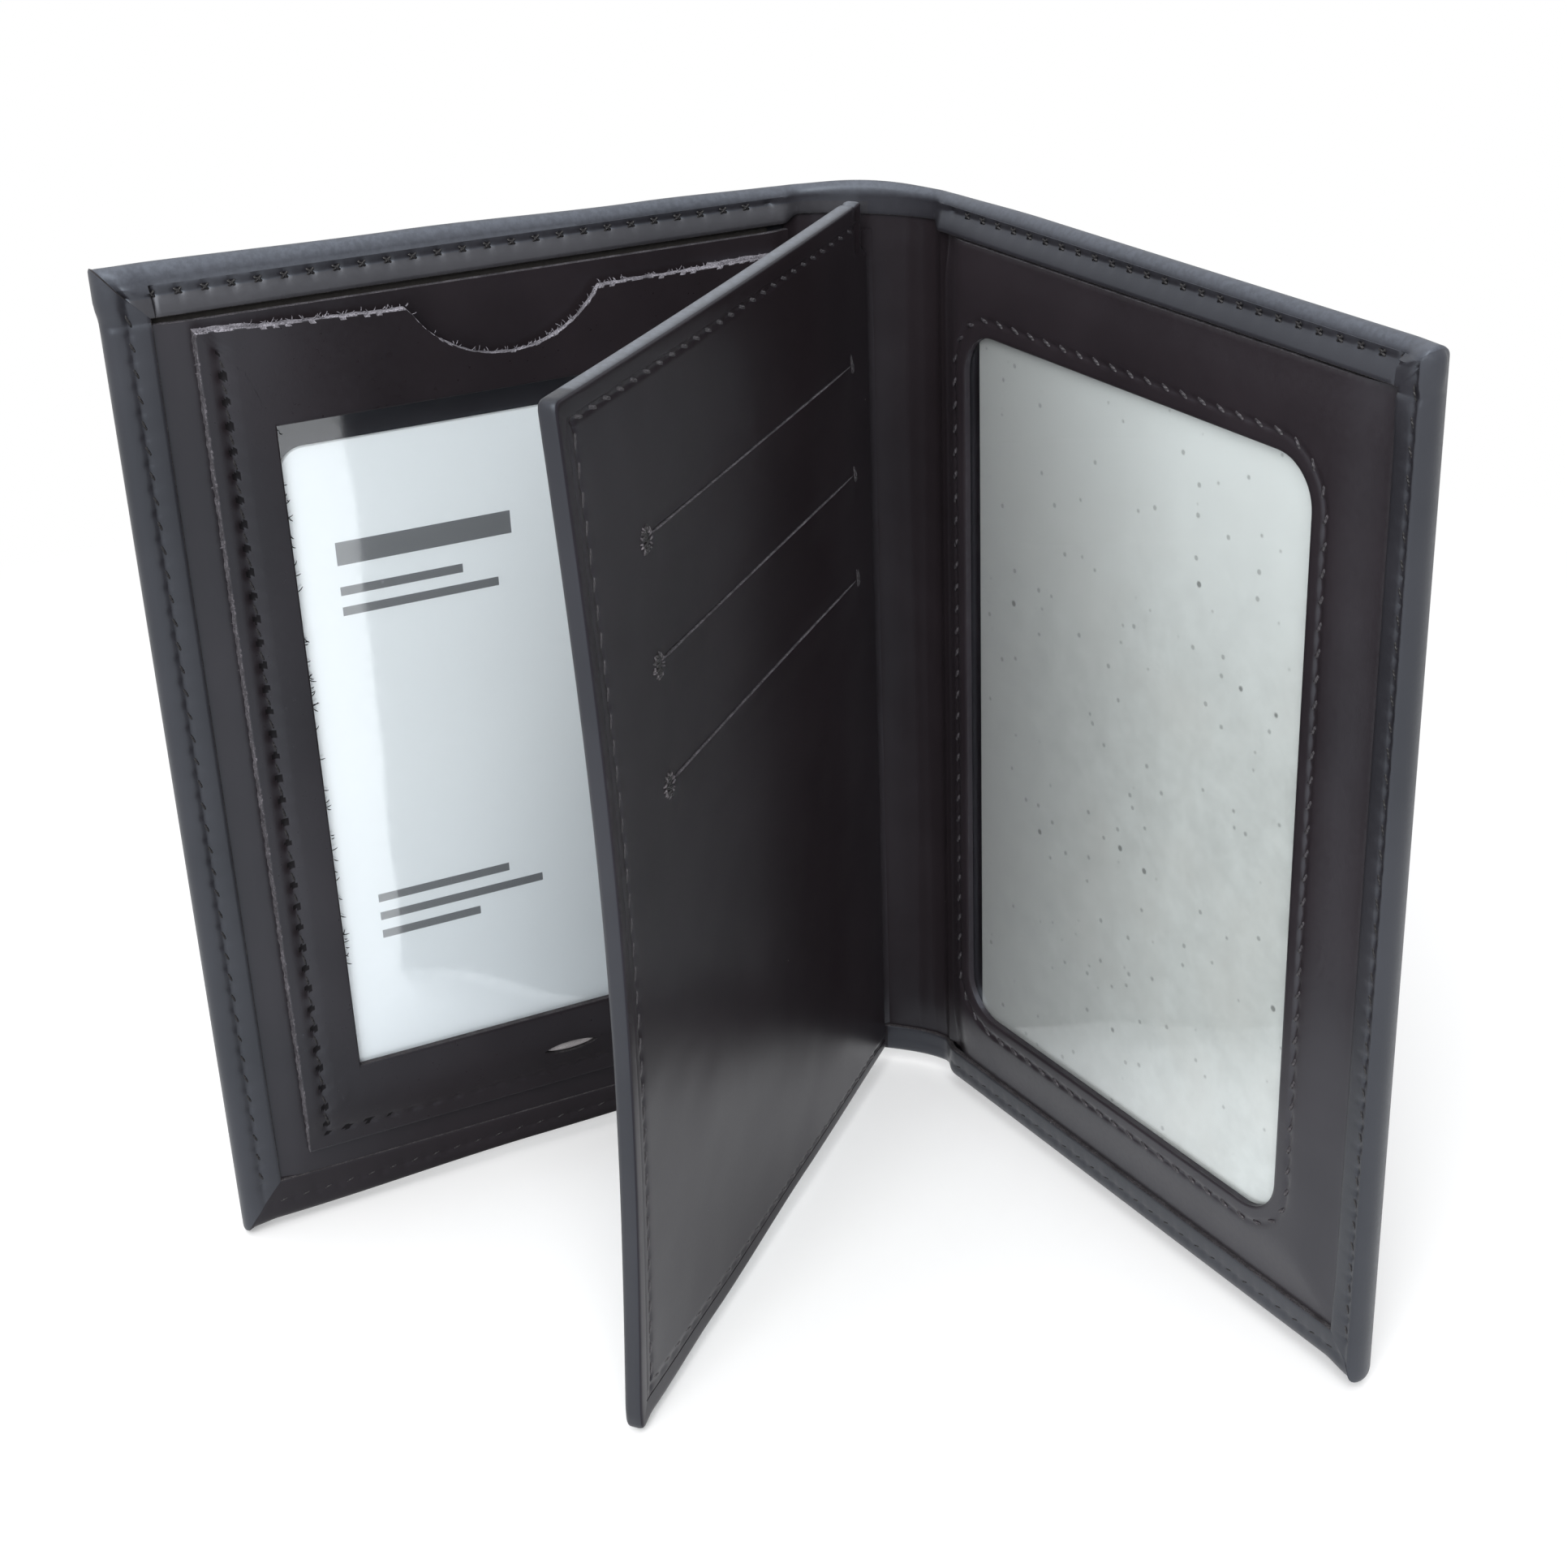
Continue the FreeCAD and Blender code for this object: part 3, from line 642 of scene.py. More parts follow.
def edgeSpot(stop, x, width, low, high, tips):
    # the place at x in from the edge
    edge, at, f = stop
    w, z = width - x, at
    if edge in ("foot", "top"):
        w = at if f is None else mixed(at, width - x, f)
        z = low + x if edge == "foot" else high - x
    elif edge == "low":
        z = mixed(low + x, at, f)
    elif edge == "high":
        z = mixed(at, high - x, f)
    # the corners' tips are rounded, at the foot and at the top
    foot = z < tall / 2
    tip = tips[0] if foot else tips[1]
    a, b = tip - (width - w), tip - min(z - low, high - z)
    if a > 0.0 and b > 0.0:
        shrink = max(a, b) / max(1e-6, math.hypot(a, b))
        w = width - tip + a * shrink
        z = low + tip - b * shrink if foot else high - tip + b * shrink
    return w, z


def rimStops():
    turnIn = wallet["halfSpine"] + rim["cornerStart"]
    low = coverEdge - turnIn
    run = steps(0.0, rim["foldSheet"], rim["pitch"]) + steps(rim["foldSheet"], turnIn, rim["pitch"])[1:]
    return edgeStops(run, low, tall - low, rim["cornerSteps"], rim["pitch"])


def rimSpot(half, stop, x):
    w, z = edgeSpot(stop, x, coverEdge, 0.0, tall, (rim["tip"], half["topTip"]))
    # hand work: the outline isn't quite straight
    grown = half["sideGrow"] * (1.0 - ease((coverEdge - w) / rim["soft"]))
    lifted = lookUp(half["topGrow"], w) * (1.0 - ease((tall - z) / rim["soft"]))
    lifted += lookUp(half["footGrow"], w) * (1.0 - ease(z / (2.0 * rim["soft"])))
    return w + grown, z + lifted


def rimProfile(half, stop):
    # cross-section from the flat outer face, round the edge, along the hem and back inside
    edge, at, f = stop
    height = half["height"]
    top = rim["topHeight"]
    hem = rim["hem"]
    pinch = 0.0
    seam = 1.0
    tilt = 0.0
    dent = 0.0
    flap = 0.0
    groove, hole = rim["grooves"].get(edge, rim["sideGroove"])
    if edge in ("foot", "top"):
        rise = ease((at - wallet["halfSpine"] - 0.2) / rim["climb"][edge]) if f is None else 1.0
        seam = ease((at - wallet["halfSpine"] - 3.0) / 2.0) if f is None else 1.0
        hem = mixed(rim["spineHem"], rim["hem"], rise)
        rolled = mixed(rim["spineHeight"], height if edge == "foot" else top, rise)
        laid = rolled
        u = rimSpot(half, stop, rim["seam"])[0] - wallet["halfSpine"]
        row = footRow if edge == "foot" else topRow
        if row[0] - 1 < u < row[1] + 1:
            pinch = pinchAt(u, *row, 0.42)
        if edge == "top":
            tilt = half["topTilt"] * rise if f is None else 0.0
            dent = rim["notch"] if f is None and u > rim["cornerStart"] - 0.1 else 0.0
            if f is not None:
                laid = height - rim["telegraph"]
                rolled = mixed(top, laid, ease(f * 1.4))
    else:
        z = rimSpot(half, stop, rim["seam"])[1]
        rolled = height - rim["telegraph"] * ease(z - rim["panelEnd"])
        laid = rolled
        tilt = half["sideTilt"] * (1.0 - ease((abs(z - tall / 2) - rim["tiltHalf"]) / rim["tiltFade"]))
        pinch = pinchAt(z, *sideRow, 0.32) if sideRow[0] - 1 < z < sideRow[1] + 1 else 0.0
        if edge == "high":
            flap = rim["flap"] * ease((f - 0.05) / 0.4)
    mitre = half["footMitre"] if edge == "foot" and f == 1.0 else 0.0
    if edge == "top" and f is not None:
        mitre = 0.35 * ease((f - 0.75) / 0.2)
    press = 0.09 * seam + 0.12 * pinch * seam
    sink = groove * seam + hole * pinch * seam + dent
    curve = min(1.4, 0.58 * rolled)
    slope = 1.3 if edge == "top" else 1.0
    line = [(rim["flat"], 0.0), (3.1, 0.0), (2.9, press * 0.45), (2.7, press), (2.5, press * 0.45), (2.2, 0.0),
            (1.8, -0.04)]
    for n in range(13):
        a = math.radians(-90 + 15 * n)
        inner = mitre * max(0.0, math.sin(a))
        out = flap * 0.7 * math.cos(a) if n > 4 else 0.0
        line.append((curve * (slope if n > 6 else 1.0) * (1 - math.cos(a)) + inner * 0.4 - out,
                     rolled / 2 * (1 + math.sin(a)) - inner + flap * max(0.0, math.sin(a))))
    over = (rolled + 0.05 - mitre - dent,
            mixed(rolled, laid, 0.4) + 0.02 - 0.12 * pinch * seam - mitre - dent,
            laid - sink * 0.55 - mitre * 0.6, laid - sink - mitre * 0.4, laid - sink * 0.5)
    line += [(x, t + flap * (1.0 - ease((x - 1.5) / 1.7))) for x, t in zip(rim["hemStops"], over)]
    line += [(3.3, laid - 0.06 * pinch * seam + tilt * 0.6 - dent), (4.0, laid + 0.02 + tilt * 1.3 - dent),
             (hem - 0.5, laid + 0.02 + tilt * 2.0 - dent), (hem - 0.1, laid - 0.02 + tilt * 2.3 - dent)]
    laid += tilt * 2.3
    line += [(hem, laid - 0.1), (hem + 0.03, laid - 0.4), (hem, laid - 0.7)]
    line += [(hem - 0.3, laid - rim["sheet"]), (1.75, rolled - rim["sheet"]),
             (1.55, (rolled - rim["sheet"] + rim["board"]) / 2), (1.75, rim["board"]),
             (rim["flat"], rim["board"])]
    return line


def assembled(name, pieces, finishes, *openings):
    # the pieces are sewn into one, and the openings that the tests find are closed
    for piece in pieces:
        dress(piece, *finishes)
    made = joined(pieces)
    made.name = name
    sewUp(made)
    for test in openings:
        capOpen(made, test)
    sewUp(made)
    smooth(made, 50.0)
    return made


def depthOn(side, point):
    # depth of a point of the cover from its outer face, in millimetres
    turn = wallet["turn"]
    x = side * point.x - wallet["halfSpine"]
    y = point.y - wallet["foldY"]
    return wallet["neutral"] - x * math.sin(turn) - y * math.cos(turn)


def outerHalf(name, half):
    side = half["side"]
    stops = rimStops()
    lines = [rimProfile(half, stop) for stop in stops]
    rows = len(lines[0]) - 1

    def placeRim(i, j):
        x, t = lines[i][j]
        w, z = rimSpot(half, stops[i], x)
        return sheetPoint(side, w, t, z)

    flapAt = next(n for n, s in enumerate(stops) if s[0] == "high" and s[2] == 1.0)
    stepAt = max(n for n, s in enumerate(stops) if s[0] == "top" and s[2] is not None)

    # the profile's points: 7 to 19 go round the edge, 20 to 28 over the hem, 28 to 32 round its cut edge
    def paintRim(i, j):
        # the flap's ledge is painted dark as a painted shadow line; the step's cells get the hem's dark cut
        # edge
        if j in (28, 29, 30, 31) or (i == flapAt and 11 <= j < 23) or (i == stepAt and 20 <= j < 28):
            return 1
        if half["dull"] and stops[i][0] == "top" and 24 <= j < 28:
            return 3
        # painted shade: the left cover's foot hem gets the darker, duller copy of the leather
        return 2 if half["dull"] and stops[i][0] == "foot" and 13 <= j < 28 else 0

    def wearAndSheenRim(i, j):
        x = lines[i][j][0]
        # painted sheen: the top crest, and on the left cover the top strip, are lightened as if lit; the
        # corners and the cut edges carry real wear
        paintedCrestSheen = bump(j - 14.5, 4.0) * half["paintedCrestSheen"] if stops[i][0] == "top" else 0.0
        corner = 0.2 * ease(1.0 - min(abs(i - n) for n, s in enumerate(stops) if s[2] == 1.0) / 9.0)
        strip = half["paintedStripSheen"] if stops[i][0] == "top" and 24 <= j <= 28 else 0.0
        return min(1.0, paintedCrestSheen + strip + corner * bump(x, 2.4) + (0.5 if 29 <= j <= 31 else 0.0))

    pieces = [cutBlank(name, len(stops) - 1, rows, placeRim, paintRim, wearAndSheenRim)]
    across = steps(0.0, rim["foldSheet"], rim["pitch"])
    low = [rimSpot(half, ("foot", w, None), rim["flat"])[1] for w in across]
    high = [rimSpot(half, ("top", w, None), rim["flat"])[1] for w in across]
    for depth in (0.0, rim["board"]):
        pieces.append(cutBlank(name + "Fold", len(across) - 1, rim["foldRows"], lambda i, j: sheetPoint(
            side, across[i], depth, mixed(low[i], high[i], j / rim["foldRows"]))))
    reach = coverPoint(side, rim["foldSheet"] - wallet["halfSpine"], 0.0, 0.0).x / mm * side
    return assembled(
        name, pieces, (outerFinish, hemEdge, footShadeFinish, stripFinish),
        lambda p: side * p.x > reach - 0.8 and abs(depthOn(side, p)) < 0.02,
        lambda p: side * p.x > reach - 1.6 and abs(depthOn(side, p) - rim["board"]) < 0.02,
        lambda p: abs(p.x) < 0.001)


hemThread = {
    # length, width and rise of a stitch, and its slant
    "top": (1.7, 0.34, 0.3),
    "cross": (math.radians(38.0), math.radians(-42.0)),
    "side": (1.7, 0.3, 0.2, math.radians(18.0)),
    "foot": (1.5, 0.24, 0.14, math.radians(14.0)),
}


def hemStitches(name, half):
    side, height = half["side"], half["height"]
    inset = rim["seam"]
    onTop = lambda s, t: coverPoint(side, s, t, tall - inset)
    onSide = lambda s, t: coverPoint(side, wallet["coverWidth"] - inset, t, s)

    def onFoot(s, t):
        z = rimSpot(half, ("foot", wallet["halfSpine"] + s, None), inset)[1]
        return coverPoint(side, s, t, z)

    # little crosses show at the holes of the top row, dashes on the other rows
    seams = []
    holes = seamSpots(onTop, *topRow, lambda s: rim["topHeight"] - 0.08, 1.0, 1.0)
    for lean in hemThread["cross"]:
        seams.append(sew(name, holes, *hemThread["top"], lean))
    for row, at, drop, edge in ((onSide, sideRow, 0.06, "side"), (onFoot, footRow, 0.05, "foot")):
        seams.append(sew(name, seamSpots(row, *at, lambda s: height - drop, 1.0), *hemThread[edge]))
    backs = []
    for row, at in ((onTop, topRow), (onSide, sideRow), (onFoot, footRow)):
        backs += seamSpots(row, *at, lambda s: 0.1, -1.0)
    seams.append(sew(name, backs))
    return joined(seams)


def fit(piece, slot, body, *nodes):
    # the piece stands for its nodes and rides on their body
    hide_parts(*nodes)
    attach(piece, body)


def fitFold(piece, slot, side, body, *nodes):
    # the piece stands for its nodes and stays where it was built; the fold's two ends are worked out but not
    # used
    start, end = (sheetPoint(side, wallet["halfSpine"] + reach, 0.5, 60.0)
                  for reach in (-wallet["hinge"], wallet["hinge"]))
    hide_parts(*nodes)
    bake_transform(piece)


for label, half, body in (("left", leftRim, "left_cover"), ("right", rightRim, "right_cover")):
    outer = outerHalf(label + "OuterLeather", half)
    fitFold(outer, "outer_leather", half["side"], body, body + "_outer", "spine_outer")
    fit(hemStitches(label + "HemStitches", half), "thread", body, label + "_hem_thread")
    print(label, "outer leather and hems", len(outer.data.polygons))


def thickSheet(name, columns, rows, place, facing, thick, *finishes):
    # a sheet with its face towards the facing; a second finish shows on its cut edges
    sheet = cutBlank(name, len(columns) - 1, len(rows) - 1, lambda i, j: place(columns[i], rows[j]))
    faceTowards(sheet, facing)
    dress(sheet, *finishes)
    addModifier(sheet, "SOLIDIFY", thickness=thick * mm, offset=-1.0, material_offset_rim=len(finishes) - 1)
    smooth(sheet)
    return sheet

# Spine lining: a soft strip that runs on into both covers

spineStrip = {"face": 1.72, "reach": 11.4, "low": 4.4, "high": 120.6, "thick": 0.65, "pitch": (0.3, 1.29),
              "endDip": 0.32, "endReach": 5.0, "climb": 0.5, "climbFrom": 9.2, "climbReach": 2.2,
              "creases": ((4.6, 0.04), (6.9, 0.06), (8.2, 0.03)), "creaseWidth": 0.8, "stray": 0.25}


def spineLining(name, side):
    low, high = spineStrip["low"], spineStrip["high"]
    across, up = spineStrip["pitch"]

    def place(w, z):
        atEnds = 1.0 - ease(min(z - low, high - z) / spineStrip["endReach"])
        t = spineStrip["face"] - spineStrip["endDip"] * atEnds
        t += spineStrip["climb"] * ease((w - spineStrip["climbFrom"]) / spineStrip["climbReach"])
        for at, depth in spineStrip["creases"]:
            stray = spineStrip["stray"] * math.sin(z * 0.07 + at)
            t -= depth * bump(w - at - stray, spineStrip["creaseWidth"])
        return sheetPoint(side, w, t, z)

    return thickSheet(name, steps(0.0, spineStrip["reach"], across), steps(low, high, up), place,
                      Vector((0.0, -1.0, 0.0)), spineStrip["thick"], spineFinish, hemEdge)


for label, side in (("left", -1), ("right", 1)):
    fitFold(spineLining(label + "SpineLining", side), "lining_leather", side, label + "_cover", "spine_lining")
print("spine lined")

# Left cover: lining with its free top edge, card pocket, film and card

leftLining = {"start": 2.4, "end": 80.27, "low": 5.23, "high": 119.0, "face": 3.28, "tuck": 0.45,
              "footTuck": 0.12, "tuckReach": 3.6, "dip": 0.7, "dipReach": 3.0, "thick": 0.8, "pitch": 1.0,
              "mouthLift": 0.12, "mouthFrom": 108.0, "mouthReach": 11.0}


def inwards(side):
    return (coverPoint(side, 40.0, 1.5, 60.0) - coverPoint(side, 40.0, 0.5, 60.0)).normalized()


def liningPanel(name, side, look):
    start, end, low, high = (look[k] for k in ("start", "end", "low", "high"))

    def place(u, z):
        t = look["face"] - max(look["tuck"] * (1.0 - ease((end - u) / look["tuckReach"])),
                               look["footTuck"] * (1.0 - ease((z - low) / look["tuckReach"])))
        t -= look["dip"] * (1.0 - ease((u - start) / look["dipReach"]))
        lift = look["mouthLift"] * ease((z - look["mouthFrom"]) / look["mouthReach"])
        t += lift * math.sin(math.pi * (u - start) / (end - start))
        return coverPoint(side, u, t, z)

    return thickSheet(name, steps(start, end, look["pitch"]), steps(low, high, look["pitch"]), place,
                      inwards(side), look["thick"], liningFinish, cutEdge)


fit(liningPanel("leftLining", -1, leftLining), "lining_leather", "left_cover", "left_lining")

pocket = {
    "right": 4.2, "left": 76.3, "low": 8.7, "high": 116.6,
    "windowRight": 15.5, "windowLeft": 68.6, "windowLow": 20.2, "windowHigh": 106.0,
    "face": 5.15, "back": 4.4, "seat": 3.34,
    "notchRadius": 13.56, "notchDepth": 6.3, "notchStops": 44, "stops": (100, 300, 150),
    "channel": (14.3, 69.3, 16.9),   # room for the card behind the panel: two sides and the foot
    "slotLength": 7.5, "slotWidth": 1.6, "slotHeight": 14.4, "slotFloor": 4.3,
    "seam": 2.5, "groove": 0.12, "hole": 0.3, "ridge": 0.95, "lip": 0.35,
    "rise": 1.5, "riseFrom": 30.0, "riseReach": 46.3,   # the mouth climbs towards the free side
    "footDip": 1.1, "footReach": 7.0,                   # the foot is pressed down to the lining
    "lipFrom": 104.0, "lipReach": 12.0, "mouthPitch": 0.7, "holeSpread": 0.5,
    "seenFrom": 65.0,       # the leaf hides the foot's seam up to here
    "rowsIn": (0.0, 0.06, 0.2, 0.45, 0.8, 1.1, 1.45, 1.75, 2.0, 2.25, 2.5, 2.7, 2.95, 3.3, 4.2, 5.0),
    "rowsOn": (0.3, 0.6, 0.82, 0.93, 0.98, 1.0),
}
pocketMiddle = (pocket["right"] + pocket["left"]) / 2
pocketSideRow = (12.2, 115.6, 35)
pocketFootRow = (6.7, 73.8, 23)


def pocketTop(u):
    high = pocket["high"] + pocket["rise"] * max(0.0, (u - pocket["riseFrom"]) / pocket["riseReach"])
    centre = pocket["high"] - pocket["notchDepth"] + pocket["notchRadius"]
    off = abs(u - pocketMiddle)
    if off >= pocket["notchRadius"]:
        return high
    return min(high, centre - math.sqrt(pocket["notchRadius"] ** 2 - off ** 2))


def pocketStops():
    # round the panel: (edge, share of the way, place along the edge)
    drop = pocket["notchRadius"] - pocket["notchDepth"]
    reach = math.sqrt(pocket["notchRadius"] ** 2 - drop ** 2)
    wide = pocket["left"] - pocket["right"]
    tops = steps(pocket["left"], pocketMiddle + reach, pocket["mouthPitch"])
    opening = math.asin(reach / pocket["notchRadius"])
    turns = steps(opening, -opening, 2.0 * opening / pocket["notchStops"])
    tops += [pocketMiddle + pocket["notchRadius"] * math.sin(turn) for turn in turns[1:]]
    tops += steps(pocketMiddle - reach, pocket["right"], pocket["mouthPitch"])[1:]
    foot, left, right = pocket["stops"]
    stops = [("foot", n / foot) for n in range(foot)]
    stops += [("left", n / left) for n in range(left)]
    stops += [("top", (pocket["left"] - u) / wide) for u in tops[:-1]]
    stops += [("right", n / right) for n in range(right + 1)]
    return stops


def pocketSpot(stop, row):
    edge, f = stop
    rowsIn, rowsOn = pocket["rowsIn"], pocket["rowsOn"]
    inset = rowsIn[min(row, len(rowsIn) - 1)]
    share = rowsOn[row - len(rowsIn)] if row >= len(rowsIn) else 0.0
    right, left, low, high = (pocket[k] for k in ("right", "left", "low", "high"))
    wr, wl, wlow, whigh = (pocket[k] for k in ("windowRight", "windowLeft", "windowLow", "windowHigh"))
    if edge == "foot":
        a = (mixed(right + inset, left - inset, f), low + inset)
        b = (mixed(wr, wl, f), wlow)
    elif edge == "left":
        a = (left - inset, mixed(low + inset, high + pocket["rise"] - inset, f))
        b = (wl, mixed(wlow, whigh, f))
    elif edge == "right":
        a = (right + inset, mixed(high - inset, low + inset, f))
        b = (wr, mixed(whigh, wlow, f))
    else:
        u = mixed(left, right, f)
        squeeze = (pocketTop(u) - whigh) / (high - whigh)
        a = (mixed(left - inset, right + inset, f), pocketTop(u) - inset * squeeze)
        b = (mixed(wl, wr, f), whigh)
    return mixed(a[0], b[0], share), mixed(a[1], b[1], share)


def pocketHole(u, z, onFoot):
    at, row = (u, pocketFootRow) if onFoot else (z, pocketSideRow)
    return pinchAt(at, *row, pocket["holeSpread"])


def pocketFace(u, z, row):
    t = pocket["face"]
    fromLeft, fromFoot, fromRight = pocket["left"] - u, z - pocket["low"], u - pocket["right"]
    near = min(fromLeft, fromFoot, fromRight)
    pinch = pocketHole(u, z, near == fromFoot)
    # a broad valley falls from the raw edge to the seam and comes up steeply behind it
    valley = ease((near - pocket["ridge"]) / (pocket["seam"] - pocket["ridge"]))
    if near > pocket["seam"]:
        valley = 1.0 - ease((near - pocket["seam"]) / 1.0)
    t -= pocket["groove"] * valley * (0.4 if near == fromFoot else 1.0)
    t -= pocket["hole"] * pinch * bump(near - pocket["seam"] + 0.05, 0.45)
    t -= pocket["footDip"] * (1.0 - ease(fromFoot / pocket["footReach"]))
    across = fromRight / (pocket["left"] - pocket["right"])
    swell = ease((z - pocket["lipFrom"]) / pocket["lipReach"]) * max(0.0, math.sin(math.pi * across))
    t += pocket["lip"] * swell
    last = len(pocket["rowsIn"]) + len(pocket["rowsOn"]) - 1
    if row == 0 or row == last:
        t -= 0.06
    return t


def foldedRow(j, rows):
    # the rows run over the front, come back behind it and close on the first one
    if j < rows or j == 2 * rows:
        return j % (2 * rows), False
    return 2 * rows - 1 - j, True


def pocketPanel():
    stops = pocketStops()
    rows = len(pocket["rowsIn"]) + len(pocket["rowsOn"])

    def place(i, j):
        row, back = foldedRow(j, rows)
        stop = stops[i]
        u, z = pocketSpot(stop, row)
        t = pocketFace(u, z, row)
        if back:
            near, far, foot = pocket["channel"]
            inChannel = near < u < far and z > foot
            t = t - (pocket["face"] - pocket["back"]) if inChannel else min(pocket["seat"], t - 0.3)
        if row == 0 and stop[0] in ("left", "top"):       # the knife's cut isn't quite straight
            ragged = 0.05 * math.sin(i * 1.7) + 0.04 * math.sin(i * 0.61)
            u, z = (u + ragged, z) if stop[0] == "left" else (u, z + ragged)
        return coverPoint(-1, u, t, z)

    def paint(i, j):
        # the cut is frayed a little way onto the face; the top's cut gets the paler raw finish as painted
        # light, the other cuts a darker copy as painted shade
        edge = stops[i][0]
        frayed = 2 + (math.sin(i * 1.31) + math.sin(i * 0.37) > 0.0) + (math.sin(i * 2.9 + 1.0) > 0.3)
        if j == rows - 1:
            return 4
        if j == 2 * rows - 1 or j < {"top": frayed - 1, "left": frayed - 2}.get(edge, 0):
            return 1 if edge == "top" else 3
        # the needle holes get painted shade
        inset = pocket["rowsIn"][min(j, len(pocket["rowsIn"]) - 1)]
        if edge in ("left", "foot") and j < rows and 1.9 < inset < 2.9:
            u, z = pocketSpot(stops[i], j)
            hidden = edge == "foot" and u < pocket["seenFrom"]
            hole = pocketHole(u, z, edge == "foot")
            return 2 if not hidden and hole > 0.3 + 2.0 * (inset - 2.4) ** 2 else 0
        return 0

    panel = cutBlank("leftPocketPanel", len(stops) - 1, 2 * rows, place, paint,
                     lambda i, j: 0.7 if j in (0, 1, rows - 1, 2 * rows) else 0.0)
    sewUp(panel)
    return panel


fray = {"left": 120, "top": 220, "corner": 30, "window": 50, "width": 0.1, "windowWidth": 0.14,
        "length": 0.65, "sideLength": 0.55, "windowLength": 0.8, "vary": 0.45}


def frayedEdge():
    # loose fibres on the raw edges: pale ones at the top as painted light, darker ones at the side as painted
    # shade, dark ones at the window
    light, dim, dark = [], [], []
    face = pocket["face"]

    def fibre(u, z, t, towards):
        root = coverPoint(-1, u, t, z)
        tip = coverPoint(-1, u + towards[0], t + towards[1], z + towards[2])
        return root.lerp(tip, 0.4), tip - root, inwards(-1)

    for _ in range(fray["left"]):
        z = random.uniform(pocket["low"] + 3.0, pocket["high"] + pocket["rise"])
        lay = (random.uniform(0.2, 1.0), random.uniform(-0.4, 0.15), random.uniform(-1.0, 1.0))
        dim.append(fibre(pocket["left"] - 0.2, z, face - random.uniform(0.05, 0.6), lay))
    for _ in range(fray["top"]):
        u = random.uniform(pocket["right"], pocket["left"])
        lay = (random.uniform(-1.0, 1.0), random.uniform(-0.3, 0.25), random.uniform(0.2, 1.0))
        light.append(fibre(u, pocketTop(u) - 0.1, face + 0.05 - random.uniform(0.0, 0.5), lay))
    for _ in range(fray["corner"]):
        lay = (random.uniform(-0.6, 1.0), random.uniform(-0.2, 0.2), random.uniform(-0.4, 1.0))
        u = pocket["left"] - random.uniform(0.0, 2.0)
        z = pocketTop(pocket["left"]) - random.uniform(0.0, 0.4)
        light.append(fibre(u, z, face - random.uniform(0.0, 0.5), lay))
    for _ in range(fray["window"]):
        z = random.uniform(34.0, pocket["windowHigh"])
        lay = (random.uniform(-1.0, -0.3), random.uniform(-0.3, 0.2), random.uniform(-0.8, 0.8))
        dark.append(fibre(pocket["windowLeft"] + 0.05, z, face - 0.3, lay))
    thin, vary = fray["width"], fray["vary"]
    return [sew("pocketFray", light, fray["length"], thin, thin, 0.0, fibreModel, rawEdge, vary),
            sew("sideFray", dim, fray["sideLength"], thin, thin, 0.0, fibreModel, cutEdge, vary),
            sew("windowFray", dark, fray["windowLength"], fray["windowWidth"], thin, 0.0, fibreModel, pitShadeFinish,
                vary)]


def slotCutter():
    # lens-shaped knife for the slot under the window
    clearSelection()
    bpy.ops.mesh.primitive_cylinder_add(vertices=48, radius=1.0, depth=1.0)
    knife = bpy.context.object
    dress(knife, hemEdge, slotPaintedLight)
    with editing(knife, "DESELECT"):
        pickParts(knife, "FACE", lambda face: face.normal.z < -0.9)
        bpy.ops.mesh.inset(thickness=0.4)
    half, rise = pocket["slotLength"] / 2, pocket["slotWidth"] / 2
    # the slot's floor: its pale middle is painted light along the crest, its dark rim painted shade
    for face in knife.data.polygons:      # the floor is crowned and pale along its middle
        face.material_index = 1 if face.normal.z < -0.9 and len(face.vertices) > 4 else 0
    for v in knife.data.vertices:
        a, share = math.atan2(v.co.y, v.co.x), math.hypot(v.co.x, v.co.y)
        u = pocketMiddle + half * share ** 0.3 * math.cos(a)
        z = pocket["slotHeight"] + rise * share * math.sin(a) * abs(math.sin(a)) ** 0.6
        depth = pocket["slotFloor"] + 0.35 * (share < 0.8)
        v.co = coverPoint(-1, u, depth if v.co.z < 0.0 else 6.0, z)
    sewUp(knife)
    return knife


panel = pocketPanel()
knife = slotCutter()
dress(panel, panelFinish, rawEdge, pitShadeFinish, cutEdge, hemEdge)
addModifier(panel, "BOOLEAN", object=knife, operation="DIFFERENCE", solver="EXACT", material_mode="TRANSFER")
bpy.data.objects.remove(knife)
smooth(panel, 50.0)
panel = joined([panel] + frayedEdge())
fit(panel, "panel_leather", "left_cover", "left_pocket_panel")

spots = []
for u in (pocket["left"] - pocket["seam"], pocket["right"] + pocket["seam"]):
    spots += seamSpots(lambda s, t: coverPoint(-1, u, t, s), *pocketSideRow,
                       lambda s: pocket["face"] - pocket["groove"], 1.0)
spots += seamSpots(lambda s, t: coverPoint(-1, s, t, pocket["low"] + pocket["seam"]), *pocketFootRow,
                   lambda s: pocket["face"] - pocket["footDip"] * 0.7 - 0.25, 1.0)
seam = sew("leftPocketStitches", spots, length=1.8, width=0.3, rise=0.16)
fit(seam, "thread", "left_cover", "left_pocket_thread")
print("card pocket", len(panel.data.polygons), "faces,", len(spots), "stitches")

leftFilm = {"start": 14.6, "end": 69.0, "low": 18.6, "high": 107.6, "face": 4.38, "phase": 0.4,
            "thick": 0.14, "sway": 0.05, "fade": 8.0, "pitch": 2.0}


